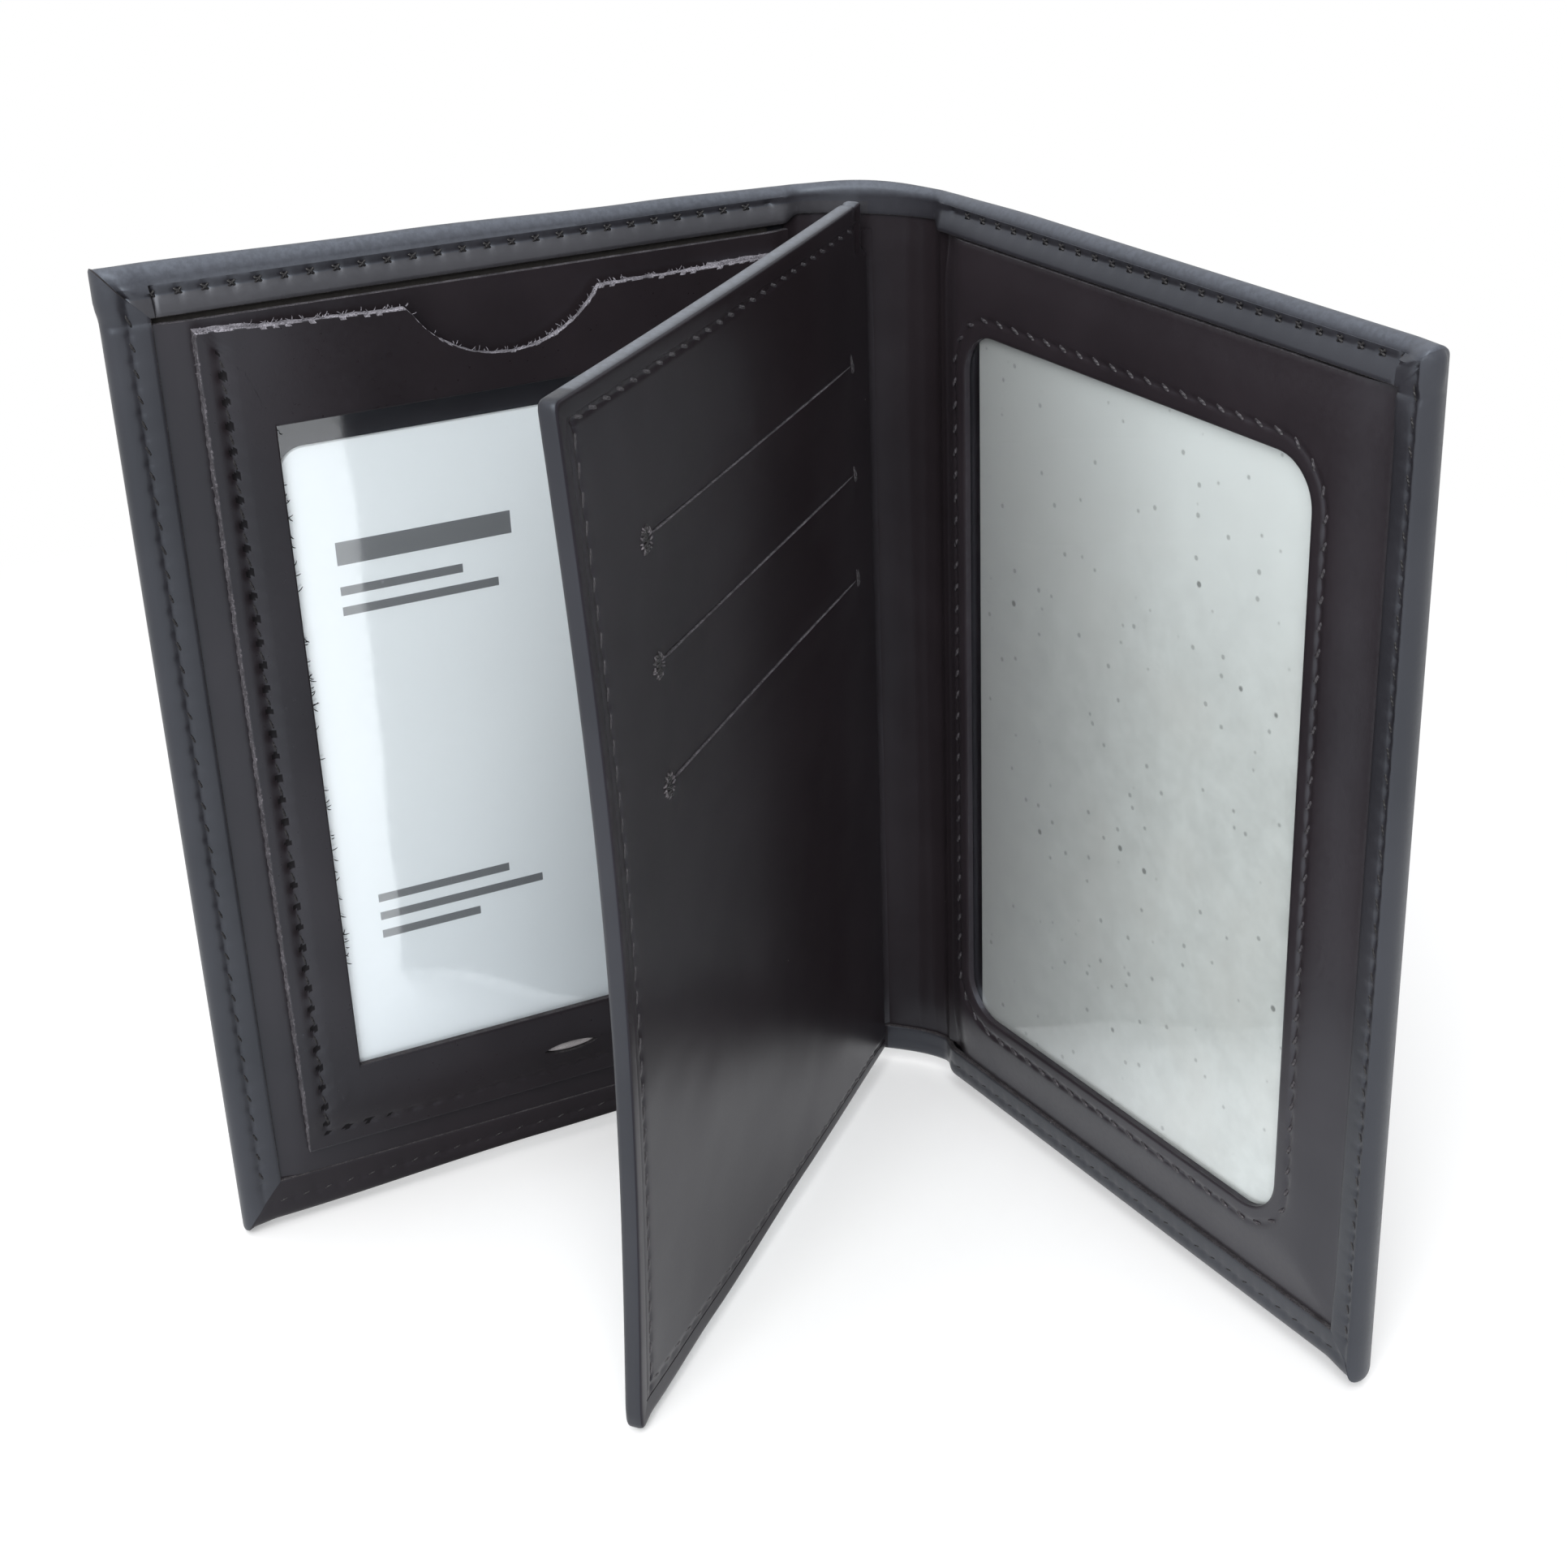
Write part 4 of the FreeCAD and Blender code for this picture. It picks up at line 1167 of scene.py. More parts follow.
def filmSheet(name, side, look, finish):
    start, end, low, high = (look[k] for k in ("start", "end", "low", "high"))
    phase, pitch = look["phase"], look["pitch"]

    def place(u, z):
        fade = ease(min(u - start, end - u, z - low, high - z) / look["fade"])
        sway = math.sin(u * 0.13 + phase) + math.sin(z * 0.09 + u * 0.05 + phase)
        return coverPoint(side, u, look["face"] + look["sway"] * fade * sway, z)

    return thickSheet(name, steps(start, end, pitch), steps(low, high, pitch), place, inwards(side),
                      look["thick"], finish)


film = filmSheet("leftWindowFilm", -1, leftFilm, cardFilm)
fit(film, "film", "left_cover", "left_window_film")

card = {"right": 14.8, "left": 68.8, "low": 17.1, "high": 102.7, "back": 3.38, "thick": 0.76, "corner": 3.18}


def identityCard():
    clearSelection()
    bpy.ops.mesh.primitive_plane_add(size=1.0)
    made = bpy.context.object
    made.name = "idCard"
    made.data.name = "idCard"
    wide, high = card["left"] - card["right"], card["high"] - card["low"]
    for v in made.data.vertices:   # lies flat first, x across and y up the card, in metres
        v.co = Vector((v.co.x * wide, v.co.y * high, 0.0)) * mm
    with editing(made):
        bpy.ops.mesh.bevel(offset=card["corner"] * mm, segments=10, affect="VERTICES")
        bpy.ops.mesh.select_all(action="SELECT")
        bpy.ops.mesh.extrude_region_move(TRANSFORM_OT_translate={"value": (0.0, 0.0, card["thick"] * mm)})
    middle = ((card["left"] + card["right"]) / 2, (card["high"] + card["low"]) / 2)
    for v in made.data.vertices:
        v.co = coverPoint(-1, middle[0] + v.co.x / mm, card["back"] + v.co.z / mm, middle[1] + v.co.y / mm)
    sewUp(made)
    dress(made, cardLook)
    addModifier(made, "BEVEL", width=0.08 * mm, segments=2, limit_method="ANGLE")
    smooth(made, 35.0)
    return made


fit(identityCard(), "card", "card", "id_card")
print("film and card in the pocket")

# Right cover: lining, insert, film and the window panel

rightLining = dict(leftLining, high=119.75, face=2.39, tuck=0.0, footTuck=0.0, dip=0.1, thick=0.75)
fit(liningPanel("rightLining", 1, rightLining), "lining_leather", "right_cover", "right_lining")

insert = {"start": 11.3, "end": 72.5, "low": 11.0, "high": 113.4, "face": 2.9, "thick": 0.26, "pitch": 2.0}


def flatSheet(name, side, look, finish):
    columns = steps(look["start"], look["end"], look["pitch"])
    rows = steps(look["low"], look["high"], look["pitch"])
    return thickSheet(name, columns, rows, lambda u, z: coverPoint(side, u, look["face"], z), inwards(side),
                      look["thick"], finish)


fit(flatSheet("rightInsert", 1, insert, insertLook), "insert", "insert", "right_insert")
rightFilm = dict(leftFilm, start=7.0, end=72.5, low=11.0, high=113.4, face=3.16, phase=2.1)
film = filmSheet("rightWindowFilm", 1, rightFilm, sheetFilm)
fit(film, "film", "right_cover", "right_window_film")

windowPanel = {
    "start": 4.6, "end": 80.27, "low": 5.23, "high": 119.5,
    "windowStart": 9.6, "windowEnd": 69.9, "windowLow": 14.3, "windowHigh": 109.2, "corner": 5.5,
    "face": 3.97, "back": 3.22, "seat": 2.44, "seam": 2.1, "groove": 0.12, "hole": 0.2, "stitch": 3.0,
    "edgeDip": 0.12, "edgeReach": 0.25, "hemDip": 0.75, "hemReach": 8.0, "spineDip": 0.9, "spineReach": 3.6,
    "mouthDip": 0.75, "mouthFrom": 113.5, "mouthReach": 6.5,
    "rowsOut": (0.0, 0.05, 0.18, 0.45, 0.85, 1.3, 1.6, 1.85, 2.1, 2.35, 2.6, 3.0, 3.6, 4.4),
    "rowsOn": (0.25, 0.5, 0.75, 0.9, 1.0),
    "sideStops": (80, 130), "cornerStops": 12, "channel": (6.7, 72.8, 10.9),
}


def windowStops():
    # round the window: (place on its edge, outward direction)
    a, b, c, d = (windowPanel[k] for k in ("windowStart", "windowEnd", "windowLow", "windowHigh"))
    r, turns = windowPanel["corner"], windowPanel["cornerStops"]
    corners = ((b - r, c + r), (b - r, d - r), (a + r, d - r), (a + r, c + r))
    stops = []
    for side, (u, z) in enumerate(corners):
        fromU, fromZ = corners[side - 1]
        count = windowPanel["sideStops"][side % 2]
        for n in range(count + turns):
            q = math.radians(90 * side - 90 + 90 * max(0, n - count) / turns)
            f = min(1.0, n / count)
            out = (math.cos(q), math.sin(q))
            stops.append(((mixed(fromU, u, f) + r * out[0], mixed(fromZ, z, f) + r * out[1]), out))
    return stops + stops[:1]


windowEdge = windowStops()


def ringLengths(offset):
    # running length along the ring of stitches
    total, lengths, before = 0.0, [], None
    for (u, z), (du, dz) in windowEdge:
        here = Vector((u + du * offset, z + dz * offset))
        if before is not None:
            total += (here - before).length
        lengths.append(total)
        before = here
    return lengths


ringAt = ringLengths(windowPanel["seam"])
ringCount = round(ringAt[-1] / windowPanel["stitch"])


def panelOuter(stop):
    # where a stop of the window lands on the panel's own outline
    (u, z), _ = stop
    a, b, c, d = (windowPanel[k] for k in ("windowStart", "windowEnd", "windowLow", "windowHigh"))
    x = (u - (a + b) / 2) / ((b - a) / 2)
    y = (z - (c + d) / 2) / ((d - c) / 2)
    big = max(abs(x), abs(y))
    x, y = x / big, y / big
    return (mixed(windowPanel["start"], windowPanel["end"], (x + 1) / 2),
            mixed(windowPanel["low"], windowPanel["high"], (y + 1) / 2))


panelOutline = [panelOuter(stop) for stop in windowEdge]
for corner in ((windowPanel["start"], windowPanel["low"]), (windowPanel["end"], windowPanel["low"]),
               (windowPanel["end"], windowPanel["high"]), (windowPanel["start"], windowPanel["high"])):
    nearest = min(range(len(panelOutline)),
                  key=lambda n: math.hypot(panelOutline[n][0] - corner[0], panelOutline[n][1] - corner[1]))
    panelOutline[nearest] = corner
panelOutline[-1] = panelOutline[0]


def windowFace(i, row, u, z):
    look = windowPanel
    t = look["face"]
    if row < len(look["rowsOut"]):
        offset = look["rowsOut"][row]
        step = ringAt[-1] / ringCount
        off = ringAt[i] / step
        pinch = bump((off - round(off)) * step, 0.5)
        t -= (look["groove"] + look["hole"] * pinch) * bump(offset - look["seam"], 0.36)
        t -= look["edgeDip"] * (1.0 - ease(offset / look["edgeReach"]))
    hem = min(look["end"] - u, z - look["low"])
    t -= look["hemDip"] * (1.0 - ease(hem / look["hemReach"]))
    t -= look["spineDip"] * (1.0 - ease((u - look["start"]) / look["spineReach"]))
    t -= look["mouthDip"] * ease((z - look["mouthFrom"]) / look["mouthReach"])
    return t


def rightPanel():
    ins, ons = windowPanel["rowsOut"], windowPanel["rowsOn"]
    rows = len(ins) + len(ons)

    def place(i, j):
        row, back = foldedRow(j, rows)
        (u, z), (du, dz) = windowEdge[i]
        offset = ins[min(row, len(ins) - 1)]
        u, z = u + du * offset, z + dz * offset
        if row >= len(ins):
            share = ons[row - len(ins)]
            u, z = mixed(u, panelOutline[i][0], share), mixed(z, panelOutline[i][1], share)
        t = windowFace(i, row, u, z)
        if back:
            near, far, foot = windowPanel["channel"]
            inChannel = near < u < far and z > foot
            t = t - (windowPanel["face"] - windowPanel["back"]) if inChannel else windowPanel["seat"]
        return coverPoint(1, u, t, z)

    panel = cutBlank("rightWindowPanel", len(windowEdge) - 1, 2 * rows, place,
                     lambda i, j: 1 if j == rows - 1 else 0,
                     lambda i, j: 0.6 if j in (rows - 1, rows) else (0.25 if j in (0, 1) else 0.0))
    sewUp(panel)
    dress(panel, litFramePanelFinish, cutEdge)
    smooth(panel, 50.0)
    return panel


panel = rightPanel()
fit(panel, "panel_leather", "right_cover", "right_window_panel")


def ringSpots():
    spots = []
    step = ringAt[-1] / ringCount
    height = windowPanel["face"] - windowPanel["groove"] + 0.05
    offset = windowPanel["seam"]
    for n in range(ringCount):
        want = (n + 0.5) * step
        i = max(k for k in range(len(ringAt)) if ringAt[k] <= want)
        f = (want - ringAt[i]) / max(1e-6, ringAt[i + 1] - ringAt[i])
        ends = []
        for k in (i, i + 1):
            (u, z), (du, dz) = windowEdge[k]
            ends.append(coverPoint(1, u + du * offset, height, z + dz * offset))
        spots.append((ends[0].lerp(ends[1], f), ends[1] - ends[0], inwards(1)))
    return spots


ringThread = {"length": 2.0, "width": 0.5, "rise": 0.34, "slant": math.radians(-34.0)}
spots = ringSpots()
seam = sew("rightWindowStitches", spots, finish=waxedThread, **ringThread)
fit(seam, "thread", "right_cover", "right_window_thread")
print("window panel", len(panel.data.polygons), "faces,", len(spots), "stitches")

# Middle leaf: rolled wrap, front panel with slits, liners, stitches and tacks

wrap = {
    "half": 1.6, "back": 0.95, "flat": 3.6, "start": -0.8, "corner": 75.6, "tip": 1.0, "pitch": 0.75,
    "lip": 1.74, "inside": -0.7, "topGrow": 0.5,
    "footGrow": ((-1.0, 0.6), (30.0, 0.0), (60.0, -1.2), (77.0, -2.1), (80.1, -2.9)),
    "steps": (0.15, 0.32, 0.5, 0.68, 0.84, 0.94),
    # thinned from the back, squared at the edge, flat in front
    "roll": ((0.9, -0.74), (0.5, -0.64), (0.25, -0.5), (0.1, -0.34), (0.02, -0.14), (0.0, 0.1), (0.0, 0.5),
             (0.0, 0.9), (0.03, 1.2), (0.1, 1.42), (0.24, 1.54), (0.42, 1.58), (0.7, 1.58)),
}
leafSeam = 2.8
leafRows = {"side": (4.2, 119.5, 39), "end": (3.0, 77.3, 25)}


def wrapStops():
    beyond = leafForm["width"] - wrap["corner"]
    run = steps(wrap["start"], wrap["corner"], wrap["pitch"])
    return edgeStops(run, leafForm["low"] + beyond, leafForm["high"] - beyond, wrap["steps"], wrap["pitch"])


def wrapSpot(stop, x):
    low, high = leafForm["low"], leafForm["high"]
    u, z = edgeSpot(stop, x, leafForm["width"], low, high, (wrap["tip"], wrap["tip"]))
    z += wrap["topGrow"] * (1.0 - ease((high - z) / wrap["lip"]))
    z += lookUp(wrap["footGrow"], u) * (1.0 - ease((z - low) / (2.0 * wrap["lip"])))
    return u, z


def wrapProfile(stop):
    u, z = wrapSpot(stop, leafSeam)
    s, row = (u, leafRows["end"]) if stop[0] in ("foot", "top") else (z, leafRows["side"])
    pinch = pinchAt(s, *row) if row[0] - 1 < s < row[1] + 1 else 0.0
    half, back = wrap["half"], wrap["back"]
    line = [(wrap["flat"], -back), (3.3, -back), (3.05, 0.03 - back), (2.8, 0.06 - back + 0.08 * pinch),
            (2.5, 0.03 - back), (2.1, 0.05 - back), (1.5, 0.12 - back)]
    line += wrap["roll"]
    line += [(1.4, half - 0.03), (1.68, half - 0.07), (wrap["lip"], half - 0.4), (wrap["lip"], 0.5),
             (1.8, wrap["inside"]), (wrap["flat"], wrap["inside"])]
    return line


# the roll at the top ends in a small knob beside the spine
knob = {"low": 117.0, "end": 4.5, "half": 1.4, "neck": 2.3, "neckWidth": 0.4, "pinch": 0.2,
        "tip": 1.2, "tipRadius": 2.05, "least": 0.08}


def rootShape(u, t, z):
    if z > knob["low"] and u < knob["end"]:
        middle = leafForm["high"] - knob["half"]
        waist = 1.0 - knob["pinch"] * bump(u - knob["neck"], knob["neckWidth"])
        if u < knob["tip"]:
            waist *= math.sqrt(max(knob["least"], 1.0 - ((knob["tip"] - u) / knob["tipRadius"]) ** 2))
        t *= waist
        if z > middle:
            z = middle + (z - middle) * waist
    return u, t, z


def leafWrap():
    stops = wrapStops()
    lines = [wrapProfile(stop) for stop in stops]

    def placeRim(i, j):
        x, t = lines[i][j]
        u, z = wrapSpot(stops[i], x)
        return leafPoint(*rootShape(u, t, z))

    def paintRim(i, j):
        # the roll's front half gets the face's darker leather, as painted shade where the roll turns to the
        # front
        return 1 if j >= 16 else 0

    def wearAndSheenRim(i, j):
        edge, _, f = stops[i]
        # painted sheen along the crest of the roll at the top
        return bump(j - 12.5, 3.0) if edge == "top" and f is None else 0.0

    feet = [s for s in stops if s[0] == "foot"]
    firstSide = next(n for n, s in enumerate(stops) if s[0] == "foot" and s[2] == 1.0)
    lastSide = next(n for n, s in enumerate(stops) if s[0] == "high" and s[2] == 1.0)
    across = [wrapSpot(s, wrap["flat"])[0] for s in feet]
    up = [wrapSpot(s, wrap["flat"])[1] for s in stops[firstSide:lastSide + 1]]
    pieces = [cutBlank("leafWrap", len(stops) - 1, len(lines[0]) - 1, placeRim, paintRim, wearAndSheenRim)]
    for t in (-wrap["back"], wrap["inside"]):
        pieces.append(cutBlank("leafWrapFlat", len(across) - 1, len(up) - 1,
                               lambda i, j: leafPoint(*rootShape(across[i], t, up[j]))))
    ahead = Vector((math.sin(leafForm["lean"]), math.cos(leafForm["lean"]), 0.0))
    root = Vector((leafForm["rootX"], leafForm["rootY"], 0.0))
    return assembled("leafWrap", pieces, (wrapFinish, leafFinish),
                     lambda p: (root - p).dot(ahead) < wrap["start"] + 0.01)


fit(leafWrap(), "leaf_leather", "middle_leaf", "leaf_wrap")

front = {"start": -0.8, "end": 78.36, "low": 3.04, "high": 120.66, "face": 1.52, "thick": 0.8,
         "slits": (103.8, 89.75, 75.7), "slitInner": 5.4, "slitOuter": 64.2, "gap": 0.13, "endGap": 0.3,
         "lipOut": 0.16, "lipReach": 5.0, "lipIn": 0.1, "lipInReach": 2.0, "groove": 0.05, "hole": 0.16,
         "seam": 1.25, "endSeam": 0.55, "pitch": 0.75,
         "edgeRows": (0.0, 0.1, 0.25, 0.4, 0.55, 0.7, 0.9, 1.1, 1.25, 1.4, 1.6, 2.0),
         "lipRows": (-0.9, -0.45, -0.2, 0.0, 0.001, 0.2, 0.45, 0.9, 1.6)}


def slitGap(u):
    middle = (front["slitInner"] + front["slitOuter"]) / 2
    half = (front["slitOuter"] - front["slitInner"]) / 2
    gap = front["gap"] + front["endGap"] * bump(u - front["slitOuter"] + 2.0, 2.5)   # pulled open at the tack
    return gap * max(0.0, 1.0 - abs((u - middle) / half) ** 12)


def frontPanel():
    edge = front["edgeRows"]
    pitch = front["pitch"]
    columns = steps(front["start"], front["slitInner"], pitch)
    columns += steps(front["slitInner"], front["slitOuter"], pitch)[1:]
    columns += steps(front["slitOuter"], front["end"] - edge[-1], pitch)[1:]
    columns += [front["end"] - e for e in reversed(edge[:-1])]
    rows = [front["low"] + e for e in edge]
    for slit in reversed(front["slits"]):
        rows += steps(rows[-1], slit - front["lipRows"][-1], pitch)[1:]
        rows += [slit + step for step in front["lipRows"]]
    rows += steps(rows[-1], front["high"] - edge[-1], pitch)[1:]
    rows += [front["high"] - e for e in reversed(edge[:-1])]
    cuts = {rows.index(slit): slit for slit in front["slits"]}

    def place(i, j):
        u, z = columns[i], rows[j]
        fromEdge = min(front["end"] - u, z - front["low"], front["high"] - z)
        t = front["face"]
        if fromEdge == front["end"] - u:
            pinch, seam = pinchAt(z, *leafRows["side"], 0.5), front["seam"]
        else:
            pinch, seam = pinchAt(u, *leafRows["end"], 0.5), front["endSeam"]
        t -= (front["groove"] + front["hole"] * pinch) * bump(fromEdge - seam, 0.34)
        t -= 0.03 * (1.0 - ease(fromEdge / 0.4))
        within = front["slitInner"] < u < front["slitOuter"]
        for slit in front["slits"] if within else ():
            opened = min(1.0, slitGap(u) / front["gap"])
            if z <= slit:
                t += front["lipOut"] * opened * (1.0 - ease((slit - z) / front["lipReach"]))
            else:
                t -= front["lipIn"] * opened * (1.0 - ease((z - slit) / front["lipInReach"]))
        if j in cuts and within:
            z -= slitGap(u) * 0.3
        if j - 1 in cuts and within:
            z += slitGap(u) * 0.7
        z += lookUp(wrap["footGrow"], u) * (1.0 - ease((z - leafForm["low"]) / (2.0 * wrap["lip"])))
        return leafPoint(*rootShape(u, t, z))

    panel = cutBlank("leafFrontPanel", len(columns) - 1, len(rows) - 1, place)
    # open the slits: the narrow cells between the two lips come out
    first, last = columns.index(front["slitInner"]), columns.index(front["slitOuter"])

    def between(face):
        j, i = divmod(min(v.index for v in face.verts), len(columns))
        return j in cuts and first <= i < last

    with editing(panel, "DESELECT"):
        pickParts(panel, "FACE", between)
        bpy.ops.mesh.delete(type="FACE")
    sewUp(panel, 0.002)
    faceTowards(panel, leafPoint(40.0, 1.0, 60.0) - leafPoint(40.0, 0.0, 60.0))
    dress(panel, leafFinish, cutEdge)
    addModifier(panel, "SOLIDIFY", thickness=front["thick"] * mm, offset=-1.0, material_offset_rim=1)
    smooth(panel, 50.0)
    return panel


fit(frontPanel(), "leaf_leather", "middle_leaf", "leaf_front_panel")

leafThread = {"length": 2.6, "width": 0.5, "rise": 0.3, "slant": math.radians(-26.0)}
spots = []
seamSide = front["end"] - front["seam"]
for t, outward in ((front["face"] - 0.08, 1.0), (0.02 - wrap["back"], -1.0)):
    spots += seamSpots(lambda s, d: leafPoint(seamSide, d, s), *leafRows["side"], lambda s: t, outward)
    for z in (front["low"] + front["endSeam"], front["high"] - front["endSeam"]):
        spots += seamSpots(lambda s, d: leafPoint(s, d, z), *leafRows["end"], lambda s: t, outward)
seam = sew("leafStitches", spots, finish=waxedThread, **leafThread)
fit(seam, "thread", "middle_leaf", "leaf_edge_thread")

tack = {"strands": 9, "frays": 14, "height": 2.4, "half": 1.1, "length": 2.0, "fray": 0.9, "tick": 2.6,
        "beyond": 0.9, "drop": 0.3, "lift": 0.08, "tickAt": 0.4, "ticks": (-0.22, 0.1, 0.3)}


def barTacks():
    # a dark knot with frayed, paler ends closes each slit outside, an upright tick inside
    out = leafPoint(60.0, 1.0, 60.0) - leafPoint(60.0, 0.0, 60.0)
    level = front["face"] + tack["lift"]

    def strand(u, z, towards):
        root = leafPoint(u, level, z)
        return root, leafPoint(u + towards[0], level, z + towards[1]) - root, out

    knots, frays, ticks = [], [], []
    for slit in front["slits"]:
        middle = front["slitOuter"] + tack["beyond"]
        for n in range(tack["strands"]):
            z = slit - tack["drop"] + tack["height"] * (n / (tack["strands"] - 1) - 0.5)
            knots.append(strand(middle + random.uniform(-0.2, 0.2), z, (1.0, random.uniform(-0.4, 0.4))))
        for n in range(tack["frays"]):
            turn = 2.0 * math.pi * (n + random.uniform(-0.3, 0.3)) / tack["frays"]
            u, z = tack["half"] * math.cos(turn), 0.5 * tack["height"] * math.sin(turn)
            towards = (u + random.uniform(-0.6, 0.6), z + random.uniform(-0.6, 0.6))
            frays.append(strand(middle + u, slit - tack["drop"] + z, towards))
        for shift in tack["ticks"]:
            u = front["slitInner"] - tack["tickAt"] + shift
            ticks.append(strand(u, slit + random.uniform(-0.3, 0.3), (0.1, 1.0)))
    return joined([sew("leafSlitTacks", knots, tack["length"], 0.34, 0.36, 0.0, vary=0.2),
                   sew("leafSlitTacks", frays, tack["fray"], 0.2, 0.34, 0.0, finish=frayedThread, vary=0.4),
                   sew("leafSlitTacks", ticks, tack["tick"], 0.26, 0.26, 0.0, finish=waxedThread, vary=0.2)])


fit(barTacks(), "thread", "middle_leaf", "leaf_slit_tacks")

linerForm = {"start": 4.6, "end": 65.0, "depth": 81.0, "foot": 8.0, "thick": 0.18, "lip": 0.6, "pitch": 3.0,
             "gap": 0.05, "deepest": -0.52, "layer": 0.41, "sag": 0.05, "sagReach": 10.0}


def clothLiner(name, order, top, foot):
    # one lining pocket behind its slit; its first row is sewn to the slit's lower lip
    def place(u, z):
        if z is None:
            return leafPoint(u, front["face"] - front["thick"] - linerForm["gap"], top)
        sag = linerForm["sag"] * math.sin(u * 0.3 + order) * math.sin(z * 0.2)
        sag *= ease((top - z) / linerForm["sagReach"])
        return leafPoint(u, linerForm["deepest"] + linerForm["layer"] * order + sag, z)

    return thickSheet(name, steps(linerForm["start"], linerForm["end"], linerForm["pitch"]),
                      [None] + steps(top, foot, linerForm["pitch"]), place,
                      leafPoint(40.0, 1.0, 60.0) - leafPoint(40.0, 0.0, 60.0), linerForm["thick"], clothLook)


for order, (label, slit) in enumerate(zip(("Top", "Middle", "Bottom"), front["slits"])):
    top = slit - linerForm["lip"]
    foot = max(top - linerForm["depth"], linerForm["foot"])
    liner = clothLiner("leafLiner" + label, order, top, foot)
    fit(liner, "pocket_cloth", "middle_leaf", "leaf_liner_" + label.lower())

rootStrip = {"low": 5.0, "high": 118.7, "flare": 1.4, "thick": 0.45, "sink": 0.75, "overlap": 0.2, "rows": 60,
             "shares": (0.0, 0.2, 0.4, 0.6, 0.8, 1.0)}


def leafRoot():
    # the soft strip that carries the leaf, flared where it is sewn to the spine
    back, rows = wallet["foldY"] - rootStrip["sink"], rootStrip["rows"]
    profile = []
    for f in rootStrip["shares"]:
        y = mixed(back, leafForm["rootY"] - rootStrip["overlap"], f)
        profile.append((y, rootStrip["thick"] + rootStrip["flare"] * (1.0 - f) ** 3))
    outline = [(leafForm["rootX"] - half, y) for y, half in profile]
    outline += [(leafForm["rootX"] + half, y) for y, half in reversed(profile)]

    def place(i, j):
        x, y = outline[i % len(outline)]
        return Vector((x, y, mixed(rootStrip["low"], rootStrip["high"], j / rows))) * mm

    strip = cutBlank("leafRootStrip", len(outline), rows, place)
    sewUp(strip)
    capOpen(strip, lambda p: p.z < rootStrip["low"] + 0.01)
    capOpen(strip, lambda p: p.z > rootStrip["high"] - 0.01)
    sewUp(strip)
    dress(strip, liningFinish)
    smooth(strip, 50.0)
    return strip


strip = leafRoot()
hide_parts("leaf_hinge_strip")
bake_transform(strip)
print("middle leaf sewn")

# Stiff boards between the outer leather and the linings

board = {"start": 5.2, "end": 83.0, "low": 2.4, "high": 122.4, "face": 1.55, "thick": 0.5, "pitch": 8.0}
for label, side in (("left", -1), ("right", 1)):
    fit(flatSheet(label + "Board", side, board, boardLook), "board", label + "_cover", label + "_board")

for model in (stitchModel, fibreModel):
    bpy.data.objects.remove(model)

# Stage: pale floor, soft light, the camera

stage = {"floor": 6.0, "floorColour": (0.9, 0.9, 0.9), "drop": 2.2, "worldLight": 0.52, "lift": 0.12,
         "fadeFrom": 0.1, "fadeTo": 0.3, "nook": (-0.032, 0.004, 0.0), "nookFrom": 0.014, "nookTo": 0.044,
         "nookShadeDepth": 0.85, "nookShadeColour": (0.02, 0.02, 0.02), "skyColour": (0.97, 0.985, 1.0)}
plainWhite = (1.0, 1.0, 1.0)


def seenRays(tree):
    # 1 for what the camera sees, in a mirror and through a film too
    path = addNode(tree, "ShaderNodeLightPath").outputs
    other = calc(tree, "MAXIMUM", path["Is Glossy Ray"], path["Is Transmission Ray"])
    return calc(tree, "MAXIMUM", path["Is Camera Ray"], other), path["Is Glossy Ray"]


def paleFloor():
    clearSelection()
    bpy.ops.mesh.primitive_plane_add(size=stage["floor"], location=(0.0, 0.0, -stage["drop"] * mm))
    floor = bpy.context.object
    floor.name = "paleFloor"
    finish, tree, where = startFinish("paleFloor")
    seen, mirrored = seenRays(tree)
    # painted shade on the floor in the nook between the left cover and the leaf, seen only in reflections
    nook = addNode(tree, "ShaderNodeVectorMath", {0: where, 1: stage["nook"]}, operation="DISTANCE")
    dark = remap(tree, nook.outputs["Value"], stage["nookFrom"], stage["nookTo"], stage["nookShadeDepth"], 0.0)
    shade = calc(tree, "MULTIPLY", mirrored, dark)
    lift = calc(tree, "MULTIPLY", calc(tree, "SUBTRACT", seen, shade), stage["lift"])
    matt = coat(tree, {"Base Color": blendColour(tree, shade, stage["floorColour"], stage["nookShadeColour"]),
                       "Roughness": 0.9, "Specular IOR Level": 0.0, "Emission Color": plainWhite,
                       "Emission Strength": lift})
    # away from the object the floor is plain white to the eye
    spread = addNode(tree, "ShaderNodeVectorMath", {0: where}, operation="LENGTH").outputs["Value"]
    far = remap(tree, spread, stage["fadeFrom"], stage["fadeTo"], 0.0, 1.0)
    white = addNode(tree, "ShaderNodeEmission", {"Color": plainWhite, "Strength": 1.0})
    layered(tree, calc(tree, "MULTIPLY", seen, far), matt, white)
    dress(floor, finish)


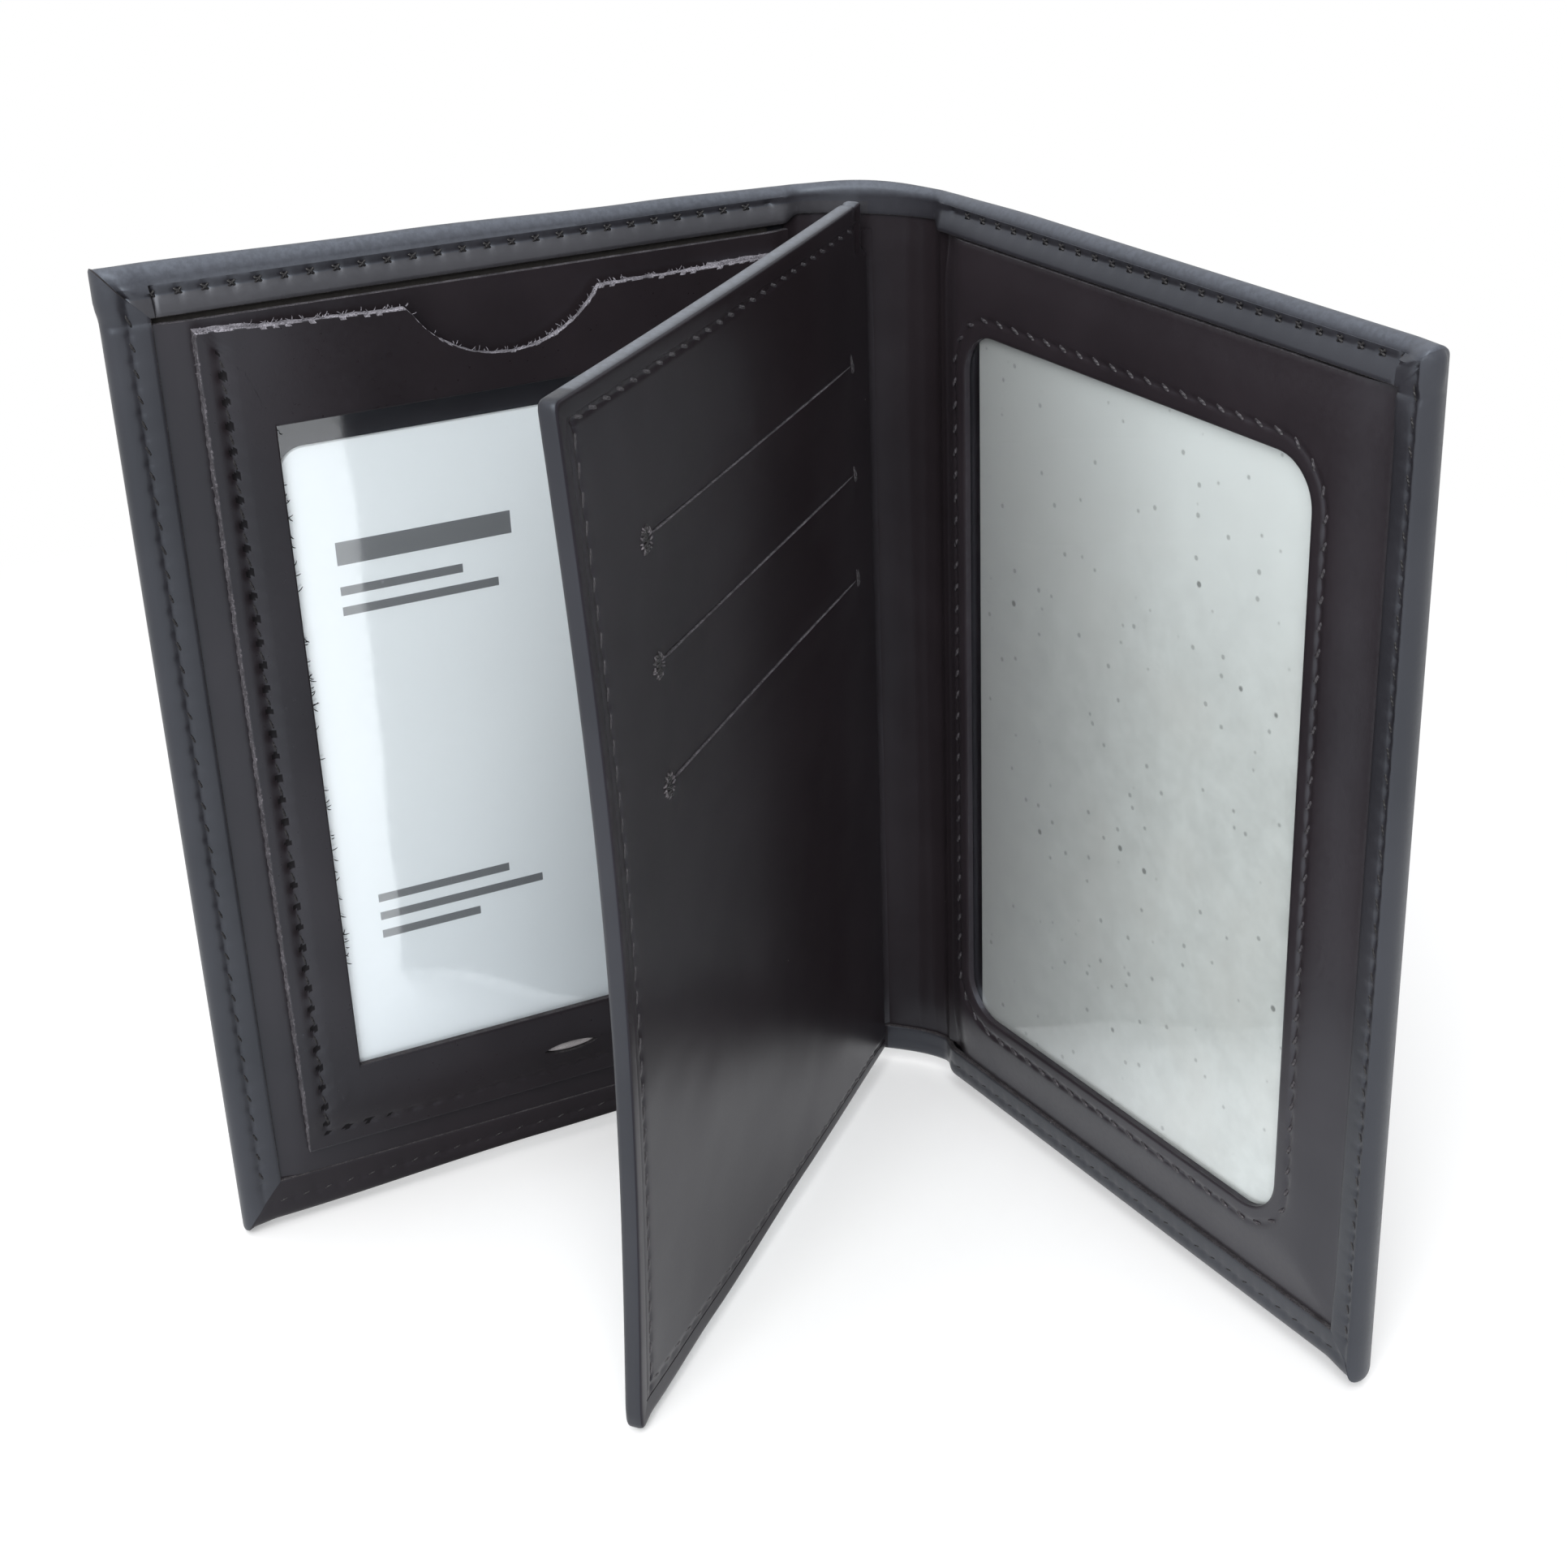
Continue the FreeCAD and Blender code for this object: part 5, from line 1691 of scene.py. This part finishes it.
def skyLight():
    world = bpy.data.worlds.new("softRoom")
    scene.world = world
    world.use_nodes = True
    tree = world.node_tree
    room = tree.nodes["Background"]
    seen, _ = seenRays(tree)
    feed(tree, room.inputs["Color"], stage["skyColour"])
    feed(tree, room.inputs["Strength"],
         calc(tree, "ADD", stage["worldLight"], calc(tree, "MULTIPLY", seen, 1.0 - stage["worldLight"])))


def softLamp(name, place, aim, size, energy):
    lamp = bpy.data.lights.new(name, "AREA")
    lamp.shape = "DISK"
    lamp.size = size
    lamp.energy = energy
    made = bpy.data.objects.new(name, lamp)
    made.location = place
    made.rotation_euler = (Vector(aim) - Vector(place)).to_track_quat("-Z", "Y").to_euler()
    scene.collection.objects.link(made)


cameraView = {
    "place": (0.07881, -0.25862, 0.19898),
    "yaw": math.radians(-15.17),
    "pitch": math.radians(26.15),
    "roll": math.radians(1.55),
    "picture": 1931.0,      # width of the picture in pixels
    "focal": 3160.16,
    "centre": (100.0, -35.0),
    "sensor": 36.0,
}


def photoCamera():
    view = cameraView
    yaw, pitch, roll = view["yaw"], view["pitch"], view["roll"]
    ahead = Vector((math.sin(yaw) * math.cos(pitch), math.cos(yaw) * math.cos(pitch), -math.sin(pitch)))
    right = Vector((math.cos(yaw), -math.sin(yaw), 0.0))
    down = ahead.cross(right)
    turnedRight = right * math.cos(roll) + down * math.sin(roll)
    turnedDown = down * math.cos(roll) - right * math.sin(roll)
    data = bpy.data.cameras.new("photoCamera")
    data.sensor_fit = "HORIZONTAL"
    data.sensor_width = view["sensor"]
    data.lens = view["focal"] / view["picture"] * view["sensor"]
    data.shift_x = -view["centre"][0] / view["picture"]
    data.shift_y = view["centre"][1] / view["picture"]
    data.clip_start = 0.01
    made = bpy.data.objects.new("photoCamera", data)
    axes = Matrix((turnedRight, -turnedDown, -ahead)).transposed().to_4x4()
    made.matrix_world = Matrix.Translation(view["place"]) @ axes
    scene.collection.objects.link(made)
    scene.camera = made


paleFloor()
skyLight()
softLamp("frontLamp", (0.1, -0.85, 0.75), (0.0, 0.02, 0.06), size=0.9, energy=12.0)
softLamp("overheadLamp", (-0.1, -0.05, 1.0), (0.0, 0.0, 0.06), size=1.2, energy=3.5)
photoCamera()
scene.view_settings.view_transform = "Standard"
print("stage set")
